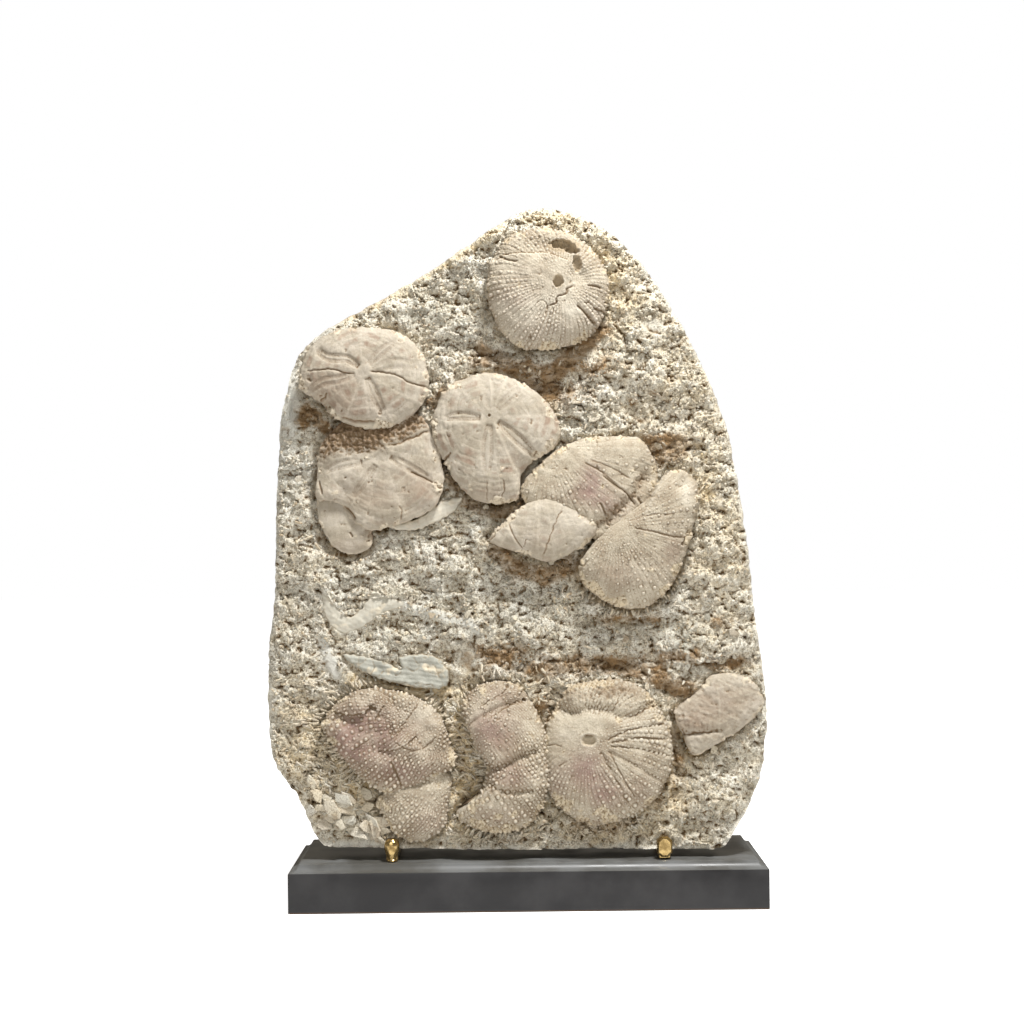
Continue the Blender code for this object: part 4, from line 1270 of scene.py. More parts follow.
# The two brass brackets: a faceted claw in front, a flat arm under the slab and an upright behind
clawMake = {
    "x": 107,
    "frontY": -53.5,
    "armWidth": 9,
    "armBottom": 38.1,
    "armTop": 43.4,
    "rearY": (8.6, 13.6),
    "rearTop": 118,
    "edge": 0.6,
    # turned left claw: height, half width
    "leftRings": [(38.1, 4.2), (39, 4.3), (39.8, 3.7), (41.2, 3.9), (44, 5), (47.6, 6), (51, 6.1),
        (53.6, 5.4), (55.2, 4), (55.9, 2.4)],
    # flat eight-sided right claw: half width, lowest and highest, cut corner, and y and inset of each ring
    "rightPad": {"halfWidth": 6.0, "low": 39.6, "high": 55.6, "corner": 3.4,
                 "rings": ((-59.0, 1.7), (-58.7, 1.2), (-57.0, 0.25), (-56.6, 0), (-50.0, 0), (-49.0, 0.9))},
}


def beveledBlock(bm, low, high, edge):
    (x0, y0, z0), (x1, y1, z1) = low, high
    rings = []
    for z, inset in ((z0, edge), (z0 + edge, 0), (z1 - edge, 0), (z1, edge)):
        ring = []
        for sx, sy in ((0, 0), (1, 0), (1, 1), (0, 1)):
            cornerX = x1 - inset if sx else x0 + inset
            cornerY = y1 - inset if sy else y0 + inset
            cutX = -edge if sx else edge
            cutY = -edge if sy else edge
            first = (cornerX, cornerY + cutY, z)
            second = (cornerX + cutX, cornerY, z)
            ring += [first, second] if sx == sy else [second, first]
        rings.append(ring)
    skinRings(bm, rings)


def makeClaw(name, x, material):
    bm = bmesh.new()
    halfArm = clawMake["armWidth"] / 2
    frontY = clawMake["frontY"]
    rearFront, rearBack = clawMake["rearY"]
    bottom = clawMake["armBottom"]
    for y, top in ((frontY - 1, clawMake["armTop"]), (rearFront, clawMake["rearTop"])):
        beveledBlock(bm, (x - halfArm, y, bottom), (x + halfArm, rearBack, top), clawMake["edge"])
    rings = []
    if x < 0:
        for z, half in clawMake["leftRings"]:
            ring = []
            for corner in range(8):
                for nudge in (-0.09, 0.09):      # two points a corner leave a thin worn edge
                    angle = (corner + 0.5) / 8 * fullTurn + nudge
                    ring.append((x + half * 1.02 * math.cos(angle), frontY + half * math.sin(angle), z))
            rings.append(ring)
    else:
        pad = clawMake["rightPad"]
        middle = (pad["low"] + pad["high"]) / 2
        for y, inset in pad["rings"]:
            a = pad["halfWidth"] - inset
            b = (pad["high"] - pad["low"]) / 2 - inset
            c = pad["corner"] - inset * 0.41
            upper = [(a, b - c), (a - c, b), (c - a, b), (-a, b - c)]
            rings.append([(x + px, y, middle + pz) for px, pz in upper + [(-px, -pz) for px, pz in upper]])
    skinRings(bm, rings)
    return pieceFromBmesh(name, bm, material, 24)


# Shader pieces. Every group and material is built through these
class NodeBench:
    def __init__(self, tree):
        self.tree = tree
        self.count = 0

    def add(self, kind, settings=None, **inputs):
        node = self.tree.nodes.new("ShaderNode" + kind)
        node.location = (self.count * 190 - 1400, -160 * (self.count % 4))
        self.count += 1
        for key, value in (settings or {}).items():
            setattr(node, key, value)
        for key, value in inputs.items():
            self.feed(node, key.replace("_", " "), value)
        return node

    # Joins a value or another node to an input, given by its name or as i and its number
    def feed(self, node, key, value):
        socket = node.inputs[int(key[1:])] if key[0] == "i" and key[1:].isdigit() else node.inputs[key]
        if isinstance(value, bpy.types.NodeSocket):
            self.tree.links.new(value, socket)
        else:
            socket.default_value = value

    def group(self, tree, **inputs):
        return self.add("Group", {"node_tree": tree}, **inputs)

    def place(self):
        return self.add("TexCoord").outputs["Object"]

    def noise(self, place, scale, detail, **inputs):
        return self.add("TexNoise", Vector=place, Scale=scale, Detail=detail, **inputs).outputs[0]

    def math(self, operation, first, second):
        return self.add("Math", {"operation": operation}, i0=first, i1=second).outputs[0]

    def times(self, first, second):
        return self.math("MULTIPLY", first, second)

    def mix(self, share, first, second):
        settings = {"data_type": "RGBA", "clamp_factor": True}
        return self.add("Mix", settings, i0=share, i6=first, i7=second).outputs[2]

    def rangeOf(self, value, low, high, toLow=0.0, toHigh=1.0):
        return self.add("MapRange", {"interpolation_type": "SMOOTHSTEP"}, Value=value, From_Min=low,
                        From_Max=high, To_Min=toLow, To_Max=toHigh).outputs[0]

    # Joins a surface's colour and fine bump, which is given as strength and distance
    def surface(self, shader, colour, height, bump):
        relief = self.add("Bump", Strength=bump[0], Distance=bump[1], Height=height)
        self.feed(shader, "Base Color", colour)
        self.feed(shader, "Normal", relief.outputs[0])


# A shader group. Its inputs' values say what they are: a number or a colour
def newGroup(name, inputs, outputs):
    tree = bpy.data.node_groups.new(name, "ShaderNodeTree")
    for label, value in inputs.items():
        kind = "NodeSocketColor" if isinstance(value, tuple) else "NodeSocketFloat"
        socket = tree.interface.new_socket(name=label, in_out="INPUT", socket_type=kind)
        socket.default_value = value
    for label, kind in outputs.items():
        tree.interface.new_socket(name=label, in_out="OUTPUT", socket_type=kind)
    bench = NodeBench(tree)
    entry = tree.nodes.new("NodeGroupInput")
    leave = tree.nodes.new("NodeGroupOutput")
    entry.location = (-1700, 0)
    leave.location = (2600, 0)
    return tree, bench, entry.outputs, leave.inputs


# Fine grain: a mask of the low places between grains, which take painted shade, and the grains' height
def buildGrainGroup():
    inputs = {"Scale": 600.0, "Low": 0.4, "High": 0.6}
    outputs = {"Mask": "NodeSocketFloat", "Height": "NodeSocketFloat"}
    tree, bench, given, result = newGroup("stoneGrain", inputs, outputs)
    place = bench.place()
    coarse = bench.noise(place, given["Scale"], 5.0, Roughness=0.65)
    cells = bench.add("TexVoronoi", Vector=place, Scale=bench.times(given["Scale"], 1.9))
    height = bench.math("SUBTRACT", coarse, bench.times(cells.outputs["Distance"], 0.35))
    tree.links.new(bench.rangeOf(coarse, given["High"], given["Low"]), result["Mask"])
    tree.links.new(height, result["Height"])
    return tree


# What a stone finish mixes: masks on the mesh, numbers and colours
stoneMasks = ("Hollow", "Stain", "Pale", "Tint", "Crust")
stoneSizes = ("Patch Scale", "Grain Scale", "Speckle")
stoneColours = ("Light", "Dark", "Earth", "Stain Colour", "Pale Colour", "Tint Colour", "Crust Colour")


# Old stone colour: two tones in soft patches, painted shade in the hollows and between grains, stains mixed
# with painted shade, worn pale places and crust
def buildStoneGroup(grainGroup):
    inputs = {**dict.fromkeys(stoneMasks, 0.0), **dict.fromkeys(stoneSizes, 0.5),
              **dict.fromkeys(stoneColours, (0.7, 0.6, 0.45, 1))}
    outputs = {"Colour": "NodeSocketColor", "Height": "NodeSocketFloat"}
    tree, bench, given, result = newGroup("oldStone", inputs, outputs)
    patches = bench.noise(bench.place(), given["Patch Scale"], 6.0, Roughness=0.6)
    grain = bench.group(grainGroup, Scale=given["Grain Scale"], Low=0.37, High=0.52)
    cloud = bench.rangeOf(patches, 0.3, 0.6, 0.55, 1.0)
    raised = bench.rangeOf(given["Hollow"], 0.0, -0.8)
    # Painted shade: deep places and the low places between grains take the shade colour
    sunk = bench.rangeOf(given["Hollow"], 0.12, 1.0, 0.0, 0.92)
    colour = given["Light"]
    for share, label in ((bench.rangeOf(patches, 0.36, 0.64), "Dark"),
                         (bench.times(grain.outputs["Mask"], given["Speckle"]), "Earth"),
                         (given["Crust"], "Crust Colour"),
                         (bench.times(given["Tint"], cloud), "Tint Colour"),
                         (bench.times(given["Pale"], 0.8), "Pale Colour"),
                         (bench.times(raised, 0.35), "Pale Colour"),
                         (bench.times(given["Stain"], cloud), "Stain Colour"),
                         (sunk, "Earth")):
        colour = bench.mix(share, colour, given[label])
    tree.links.new(colour, result["Colour"])
    tree.links.new(grain.outputs["Height"], result["Height"])
    return tree


# Rubbed finish: soft smudges and fine scratches for painted wood and brass
def buildRubbedGroup():
    inputs = {"Smudge Scale": 30.0, "Scratch Scale": 900.0}
    outputs = {"Smudge": "NodeSocketFloat", "Scratch": "NodeSocketFloat"}
    tree, bench, given, result = newGroup("rubbedFinish", inputs, outputs)
    place = bench.place()
    smudge = bench.noise(place, given["Smudge Scale"], 4.0, Roughness=0.55)
    drawn = bench.add("Mapping", {"vector_type": "POINT"}, Vector=place, Scale=(0.06, 0.4, 1.0))
    scratch = bench.noise(drawn.outputs[0], given["Scratch Scale"], 2.0)
    tree.links.new(bench.rangeOf(smudge, 0.35, 0.68), result["Smudge"])
    tree.links.new(scratch, result["Scratch"])
    return tree


def newMaterial(name):
    material = bpy.data.materials.new(name)
    material.use_nodes = True
    material.node_tree.nodes.clear()
    bench = NodeBench(material.node_tree)
    shader = bench.add("BsdfPrincipled")
    output = bench.add("OutputMaterial")
    material.node_tree.links.new(shader.outputs[0], output.inputs["Surface"])
    return material, bench, shader


# Each stone's colours and sizes in the order above, its roughness, and its bump's strength and distance
stoneLooks = {
    "limestone": {
        "colours": [(0.86, 0.83, 0.725), (0.76, 0.695, 0.55), (0.20, 0.125, 0.052), (0.32, 0.205, 0.10),
                    (0.69, 0.68, 0.615), (0.42, 0.41, 0.34), (0.78, 0.63, 0.39)],
        "sizes": (55.0, 760.0, 0.72), "roughness": 0.9, "bump": (1.0, 0.0014)},
    "urchinTest": {
        "colours": [(0.56, 0.50, 0.39), (0.41, 0.35, 0.26), (0.20, 0.14, 0.08), (0.235, 0.165, 0.10),
                    (0.76, 0.71, 0.60), (0.32, 0.215, 0.185), (0.62, 0.52, 0.36)],
        "sizes": (70.0, 1000.0, 0.3), "roughness": 0.8, "bump": (0.6, 0.001)},
    "sandDollarTest": {
        "colours": [(0.49, 0.44, 0.36), (0.40, 0.35, 0.27), (0.19, 0.125, 0.065), (0.25, 0.175, 0.11),
                    (0.66, 0.59, 0.47), (0.30, 0.215, 0.155), (0.62, 0.54, 0.41)],
        "sizes": (60.0, 1200.0, 0.2), "roughness": 0.72, "bump": (0.5, 0.0009)},
    "shellFlake": {
        "colours": [(0.44, 0.435, 0.375), (0.33, 0.33, 0.285), (0.20, 0.15, 0.09), (0.36, 0.27, 0.16),
                    (0.64, 0.63, 0.55), (0.60, 0.55, 0.45), (0.68, 0.60, 0.45)],
        "sizes": (80.0, 900.0, 0.15), "roughness": 0.6, "bump": (0.35, 0.0008)},
}


def stoneMaterial(name, stoneGroup):
    look = stoneLooks[name]
    material, bench, shader = newMaterial(name)
    stone = bench.group(stoneGroup)
    for label in stoneMasks:
        mask = bench.add("Attribute", {"attribute_name": label.lower()})
        bench.feed(stone, label, mask.outputs["Fac"])
    for label, size in zip(stoneSizes, look["sizes"]):
        bench.feed(stone, label, size)
    for label, colour in zip(stoneColours, look["colours"]):
        bench.feed(stone, label, (*colour, 1))
    bench.surface(shader, stone.outputs["Colour"], stone.outputs["Height"], look["bump"])
    bench.feed(shader, "Roughness", look["roughness"])
    bench.feed(shader, "Specular IOR Level", 0.25)
    return material


# Ebonised wood: near black, satin, with pale smudges, and bare brown wood showing along the foot; the top and
# its moulding are painted lighter, a painted reflection of the light above
plinthFinish = {"dark": (0.016, 0.0155, 0.0165, 1), "smudge": (0.034, 0.033, 0.034, 1),
                "topSheen": (0.082, 0.08, 0.072, 1), "topSheenSmudge": (0.145, 0.148, 0.146, 1),
                "bareWood": (0.11, 0.065, 0.035, 1), "topFrom": 0.0311}


def ebonisedMaterial(rubbedGroup):
    look = plinthFinish
    material, bench, shader = newMaterial("ebonisedWood")
    rubbed = bench.group(rubbedGroup, Smudge_Scale=26.0, Scratch_Scale=1500.0)
    smudge = rubbed.outputs["Smudge"]
    height = bench.add("SeparateXYZ", Vector=bench.place()).outputs["Z"]
    # The top and moulding are painted lighter: a painted reflection of the light overhead
    onTop = bench.rangeOf(height, look["topFrom"], look["topFrom"] + 0.0006)
    colour = bench.mix(onTop, bench.mix(smudge, look["dark"], look["smudge"]),
                       bench.mix(smudge, look["topSheen"], look["topSheenSmudge"]))
    foot = bench.times(bench.rangeOf(height, 0.0016, 0.0008), 0.8)
    colour = bench.mix(foot, colour, look["bareWood"])
    bench.surface(shader, colour, rubbed.outputs["Scratch"], (0.12, 0.0003))
    bench.feed(shader, "Roughness", bench.rangeOf(smudge, 0.0, 1.0, 0.30, 0.46))
    bench.feed(shader, "Specular IOR Level", 0.4)
    return material


# Lacquered brass with a little tarnish
brassFinish = {"bright": (0.62, 0.45, 0.20, 1), "tarnish": (0.27, 0.18, 0.07, 1)}


def brassMaterial(rubbedGroup):
    material, bench, shader = newMaterial("brass")
    rubbed = bench.group(rubbedGroup, Smudge_Scale=160.0, Scratch_Scale=2500.0)
    smudge = rubbed.outputs["Smudge"]
    colour = bench.mix(smudge, brassFinish["bright"], brassFinish["tarnish"])
    bench.surface(shader, colour, rubbed.outputs["Scratch"], (0.1, 0.0002))
    bench.feed(shader, "Roughness", bench.rangeOf(smudge, 0.0, 1.0, 0.18, 0.36))
    bench.feed(shader, "Metallic", 1.0)
    return material


# Where the camera stands, level with the middle of the slab
cameraMake = {"place": (-0.010, -1.662, 0.3112), "lens": 72, "roll": 0.6}


def makeCamera():
    camera = newObject("camera", bpy.data.cameras.new("camera"))
    camera.data.lens = cameraMake["lens"]
    camera.data.sensor_width = 36
    camera.location = cameraMake["place"]
    camera.rotation_euler = (math.pi / 2, math.radians(cameraMake["roll"]), 0)
    bpy.context.scene.camera = camera


# A large soft light overhead and a little to the right, and a weaker one by the camera
lightMake = {
    "overhead": {"place": (0.36, -0.60, 1.72), "aim": (0, -0.05, 0.26), "size": (0.26, 0.22), "power": 45},
    "front": {"place": (-0.4, -2.2, 0.8), "aim": (0, 0, 0.3), "size": (0.9, 0.9), "power": 6.5},
    "sky": 0.225,
    "skyColour": (1.0, 0.905, 0.765),
    "backdrop": 1.0,
    "floorReach": 6,
    "floorGlow": 0.92,      # how white the floor looks, beyond the light that falls on it
}


def makeLights():
    for name in ("overhead", "front"):
        look = lightMake[name]
        light = bpy.data.lights.new(name, "AREA")
        light.shape = "RECTANGLE"
        light.size, light.size_y = look["size"]
        light.energy = look["power"]
        lamp = newObject(name, light)
        lamp.location = look["place"]
        aim = Vector(look["aim"]) - Vector(look["place"])
        lamp.rotation_euler = aim.to_track_quat("-Z", "Y").to_euler()
    world = bpy.data.worlds.new("paleRoom")
    bpy.context.scene.world = world
    world.use_nodes = True
    world.node_tree.nodes.clear()
    bench = NodeBench(world.node_tree)
    sky = bench.add("Background", Color=(*lightMake["skyColour"], 1), Strength=lightMake["sky"])
    seen = bench.add("Background", Color=(1, 1, 1, 1), Strength=lightMake["backdrop"])
    path = bench.add("LightPath")
    both = bench.add("MixShader", i0=path.outputs["Is Camera Ray"], i1=sky.outputs[0], i2=seen.outputs[0])
    output = bench.add("OutputWorld")
    world.node_tree.links.new(both.outputs[0], output.inputs["Surface"])
    bpy.context.scene.view_settings.view_transform = "Standard"


def makeFloor():
    mesh = bpy.data.meshes.new("floor")
    reach = lightMake["floorReach"]
    corners = [(-reach, -reach, 0), (reach, -reach, 0), (reach, reach, 0), (-reach, reach, 0)]
    mesh.from_pydata(corners, [], [(0, 1, 2, 3)])
    floor = newObject("floor", mesh)
    material, bench, shader = newMaterial("paleFloor")
    bench.feed(shader, "Base Color", (0.9, 0.9, 0.9, 1))
    bench.feed(shader, "Roughness", 0.9)
    bench.feed(shader, "Emission Color", (1, 1, 1, 1))
    path = bench.add("LightPath")
    glow = bench.times(path.outputs["Is Camera Ray"], lightMake["floorGlow"])
    bench.feed(shader, "Emission Strength", glow)
    mesh.materials.append(material)


# The sea urchins and sand dollars, from the top of the slab down
fossils = {}
fossils["urchin_top"] = {
    "rim": 5, "height": 21, "pole": (28, 491), "turn": 0.2, "cut": 0.5, "squareness": 3.4, "knobRingShade": 0.6,
    "paleTips": 0, "tipTint": 0.35, "raggedHoles": 0.3,
    "litHoles": [(28, 491, 4.6, 5.6, 0.9, 0.4), (33, 519.5, 13, 5.4, 0.8, 0.55), (43, 505, 4, 7, 0.8, 0.5)],
    "outline": [(-17, 522), (2, 533), (32, 532), (55, 517), (68, 492), (64, 465), (50, 447), (23, 439),
        (-5, 442), (-23, 464), (-28, 494)], "dents": [(30, 520, 30, 9, 4), (44, 495, 9, 12, 4)],
    "holes": [(28, 491, 3.6, 4.4, 5, 1), (30, 521, 7, 3.4, 6, 0.9), (39, 516.5, 6, 3.8, 6, 0.8),
        (43, 505, 3.4, 6, 4, 0.7)],
    "ledges": [([(-24, 506), (-12, 512), (6, 513), (20, 513), (30, 509), (38, 506)], 3.4, 15)],
    "cracks": [([(17, 463), (20, 471), (26, 474), (27, 479), (34, 481), (36, 486), (43, 487)], 0.8, 1.8, 0.7),
        ([(10, 474), (16, 476), (20, 471)], 0.5, 0.8, 0.5),
        ([(42, 473), (50, 465), (58, 456)], 1.3, 2.6, 0.9), ([(50, 488), (62, 486)], 0.9, 1.4, 0.9),
        ([(55, 470), (64, 467), (68, 462)], 0.8, 1.4, 0.9),
        ([(-19, 512), (-10, 508), (-2, 507)], 0.9, 1.3, 0.9)],
    "worn": [(40, 468, 12, 9, 0.95), (10, 500, 26, 16, 0.75), (52, 498, 12, 12, 0.5), (26, 489, 12, 12, 0.6)],
    "bleached": [(40, 469, 9, 6, 0.3), (14, 466, 56, 34, 0.55)],
    "tints": [(-8, 478, 22, 10, 0.35), (-2, 498, 20, 10, 0.15), (14, 455, 30, 14, 0.2),
        (56, 468, 12, 14, 0.25)], "earth": [(40, 516, 10, 3.4, 0.5), (60, 455, 12, 5, 0.35)],
    "crusted": [(58, 450, 20, 12, 0.35), (10, 438, 40, 7, 0.45), (36, 441, 16, 7, 0.3)],
}
fossils["sand_dollar_left"] = {
    "rim": 12, "height": 23, "cut": 0.6, "apex": (-124, 422), "rays": (42, 152, 203, -68, 4),
    "outline": [(-176, 412), (-169, 439), (-150, 453), (-122, 457), (-94, 451), (-78, 433), (-74, 409),
        (-86, 389), (-114, 377), (-144, 384), (-160, 399)],
    "dents": [(-155, 396, 7, 6, 5)],
    "petals": [([(-121, 427), (-110, 438), (-98, 446)], 0.75, 4.4, 0),
        ([(-127, 425), (-137, 432), (-150, 433), (-158, 437), (-161, 443)], 1.3, 5, 0.9),
        ([(-130, 420), (-145, 416), (-157, 414), (-170, 406)], 0.9, 5, 0.4),
        ([(-122, 418), (-117, 406), (-109, 389)], 1.1, 5.4, 0.9),
        ([(-119, 423), (-100, 428), (-80, 425)], 0.35, 6.6, 0)],
    "ridges": [([(-123, 419), (-120, 406), (-115, 396)], 1.4, 0.7),
        ([(-108, 392), (-103, 383), (-99, 379)], 1.2, 0.5)],
    "cracks": [([(-170, 423), (-150, 424), (-140, 421.5), (-131, 420)], 0.65, 1.5, 0.9),
        ([(-121, 422), (-105, 420.5), (-95, 417), (-89, 413), (-73, 409)], 0.65, 1.5, 0.9),
        ([(-160, 399), (-156, 401), (-153, 406)], 0.8, 1.6, 0.9),
        ([(-144, 387), (-130, 383), (-114, 383)], 1, 1.2, 0.7)],
    "tints": [(-150, 412, 30, 18, 0.5), (-130, 395, 40, 12, 0.45), (-122, 440, 40, 12, 0.15)],
    "bleached": [(-127, 379, 12, 3, 1)],
    "crusted": [(-132, 455, 50, 4, 0.3), (-76, 400, 6, 16, 0.5), (-100, 380, 20, 5, 0.6)],
}
fossils["sand_dollar_centre"] = {
    "rim": 7, "height": 18, "hub": (-26, 376), "apex": (-26, 386), "rays": (180, -91, -39, 42, 92),
    "outline": [(-55, 413), (-28, 421), (-4, 414), (17, 399), (28, 379), (25, 363), (-1, 343), (-6, 321),
        (-33, 319), (-52, 333), (-69, 363), (-72, 381), (-66, 402)],
    "dents": [(-57, 355, 10, 8, 2), (6, 345, 14, 8, 2)],
    "petals": [([(-33, 385), (-42, 386.5), (-52, 387), (-64, 385)], 1.2, 5, 0.7),
        ([(-27, 381), (-28.5, 364), (-29, 340)], 1, 6.4, 0.3),
        ([(-21, 383), (-11, 374), (1, 363), (12, 352)], 1.3, 6, 1.5),
        ([(-21, 391), (-12, 400), (-2, 409)], 0.6, 4.6, 0),
        ([(-26, 391), (-26, 406), (-27, 419)], 0.15, 6.6, 0)],
    "ridges": [([(-24, 383), (-19, 370), (-13, 356), (-8, 342)], 1.5, 0.7),
        ([(-31, 380), (-46, 381), (-64, 379)], 1.6, 0.5), ([(-25, 390), (-25, 402), (-26, 416)], 1.1, 0.5),
        ([(-20, 380), (-9, 366), (2, 354)], 1.6, 0.6)],
    "cracks": [([(-67, 350), (-61, 354), (-57, 359)], 0.9, 2, 0.9),
        ([(-17, 338), (-16, 330), (-19, 320)], 0.5, 0.8, 0.6),
        ([(-30, 338), (-29, 328), (-30, 319)], 0.4, 0.5, 0.35),
        ([(2, 346), (12, 351), (20, 357)], 0.8, 1.3, 0.6)],
    "holes": [(-27, 387, 1.3, 1.1, 1.2, 0.7)],
    "tints": [(-44, 357, 4, 5, 0.8), (-10, 352, 12, 12, 0.3), (-58, 395, 3, 3, 0.6), (-28, 326, 22, 8, 0.3),
        (18, 383, 6, 10, 0.4)], "crusted": [(-62, 408, 14, 6, 0.2), (20, 355, 10, 8, 0.4)],
}
fossils["sand_dollar_under"] = {
    "rim": 6, "height": 13, "waver": 1.3, "apex": (-112, 362), "rays": (-25, -118, 180, 60, 120),
    "spots": 0.3, "earthShadowDepth": 1,
    "outline": [(-160, 366), (-163, 340), (-163, 322), (-147, 318), (-133, 304), (-116, 298), (-76, 312),
        (-64, 332), (-66, 356), (-80, 386), (-112, 390), (-140, 384)],
    "dents": [(-140, 330, 10, 8, 2), (-136, 372, 32, 10, -1.5), (-108, 374, 24, 8, -1), (-96, 356, 24, 7, 1)],
    "petals": [([(-106, 356), (-90, 347), (-72, 336)], 0.8, 5, 0.8),
        ([(-116, 350), (-125, 337), (-136, 323)], 0.7, 4.4, 0.5),
        ([(-126, 352), (-143, 350), (-158, 344)], 0.7, 5, 0.6)],
    "ridges": [([(-113, 374), (-108, 364), (-98, 352), (-90, 340)], 1.8, 0.9),
        ([(-109, 363), (-122, 356), (-140, 351)], 1.8, 0.6)],
    "cracks": [([(-90, 344), (-81, 340), (-70, 334)], 0.7, 1.1, 0.9),
        ([(-162, 338), (-159, 326)], 0.7, 1.4, 0.9),
        ([(-161, 321), (-149, 318), (-139, 314), (-132, 304)], 1.4, 2.6, 0.9),
        ([(-105, 364), (-90, 369), (-73, 377)], 1.1, 1.2, 0.6),
        ([(-98, 306), (-96, 312), (-99, 318)], 0.6, 0.8, 0.5)],
    "tints": [(-80, 330, 16, 14, 0.5), (-120, 325, 30, 14, 0.35), (-90, 345, 30, 10, 0.2)],
    # Its top under sand_dollar_left is caked earth with the painted shadow that sand_dollar_left casts on it
    "earth": [(-148, 376, 18, 13, 2.2), (-130, 370, 22, 10, 2.2), (-104, 376, 20, 7, 2),
        (-84, 383, 10, 6, 1.6), (-156, 360, 8, 8, 0.5)],
    "crusted": [(-84, 386, 12, 5, 0.5)],
}
fossils["sand_dollar_flap"] = {
    "rim": 3, "height": 6,
    "outline": [(-161, 326), (-162, 306), (-152, 287), (-137, 279), (-121, 286), (-122, 302), (-140, 322)],
    "cracks": [([(-138, 297), (-135, 292)], 0.7, 1.4, 0.9)], "tints": [(-140, 285, 20, 8, 0.3)],
    "earth": [(-118, 298, 10, 12, 0.7)],
}
fossils["sand_dollar_side"] = {
    "rim": 9, "height": 20, "cut": 0.4, "apex": (14, 348), "rays": (222, 262, 292, 330, 80), "spots": 0.35,
    "outline": [(-28, 290), (-14, 306), (4, 319), (21, 323), (40, 315), (55, 303), (56, 294), (43, 282),
        (19, 272), (-2, 279), (-17, 283)],
    "cracks": [([(-13, 303), (-8, 291), (-1, 281)], 0.6, 1, 0.6), ([(-2, 284), (2, 290)], 0.5, 0.7, 0.5),
        ([(30, 314), (24, 303), (18, 288), (13, 274)], 0.6, 0.8, 0.6),
        ([(-28, 289), (-18, 300)], 0.6, 0.9, 0.9)],
    "ridges": [([(8, 318), (10, 300), (9, 279)], 1.4, 0.5), ([(-15, 300), (-9, 290), (-3, 283)], 1.2, 0.5)],
    "tints": [(10, 290, 20, 12, 0.25)], "crusted": [(45, 284, 8, 8, 0.3), (52, 300, 6, 8, 0.3)],
}
fossils["urchin_middle"] = {
    "rim": 6, "height": 17, "pole": (19, 362), "fan": 96, "turn": 0.5, "knobRadius": 1.75, "rowGap": 4,
    "lines": 0.9,
    "outline": [(20, 356), (43, 367), (68, 370), (92, 367), (104, 346), (103, 326), (88, 300), (66, 286),
        (40, 296), (8, 312), (-3, 330)], "dents": [(95, 340, 12, 10, 3)],
    "valleys": [([(58, 300), (70, 309), (82, 320), (92, 334)], 5, 3.6)],
    "cracks": [([(60, 340), (70, 332), (80, 325), (87, 314)], 0.9, 1.6, 0.9),
        ([(59, 318), (64, 307)], 0.7, 1.4, 0.9), ([(46, 350), (60, 342), (74, 330)], 0.6, 0.8, 0.9),
        ([(88, 322), (94, 312)], 1, 1.6, 0.9), ([(50, 352), (66, 346), (84, 336)], 0.5, 0.6, 0.9)],
    "worn": [(28, 352, 32, 18, 0.95), (78, 358, 34, 10, 0.8), (14, 336, 14, 14, 0.5)],
    "tints": [(53, 333, 12, 16, 1), (42, 325, 22, 10, 0.3), (68, 316, 20, 12, 0.6)],
    "earth": [(63, 304, 8, 6, 1.1), (73, 312, 8, 6, 1.1), (83, 322, 8, 6, 1.1), (92, 334, 7, 7, 0.9)],
    "crusted": [(16, 328, 10, 10, 0.25), (100, 338, 6, 14, 0.4)],
}
fossils["urchin_right"] = {
    "rim": 7, "height": 24, "pole": (71, 300), "hub": (84, 291), "fan": 80, "turn": 0.4, "knobRadius": 1.4,
    "rowGap": 3.5, "lines": 0.75, "squareness": 2.6,
    "outline": [(112, 341), (129, 340), (138, 323), (134, 303), (127, 279), (114, 251), (93, 235), (70, 237),
        (46, 253), (43, 270), (57, 290), (76, 307), (96, 321)],
    "dents": [(124, 332, 10, 8, 3)],
    "cracks": [([(123, 283), (129, 297)], 1, 2, 0.9),
        ([(84, 298), (100, 295), (114, 291), (128, 290)], 0.7, 1.1, 0.9),
        ([(80, 303), (98, 308), (118, 308)], 0.5, 0.5, 0.3)],
    "worn": [(72, 296, 10, 9, 0.7), (96, 322, 24, 7, 0.4)], "bleached": [(127, 324, 6, 12, 0.6)],
    "tints": [(80, 262, 30, 14, 0.2), (116, 280, 10, 16, 0.25)], "earth": [(100, 322, 14, 5, 0.35)],
    "crusted": [(82, 247, 34, 11, 0.5), (112, 258, 14, 14, 0.4), (56, 262, 12, 12, 0.3)],
}
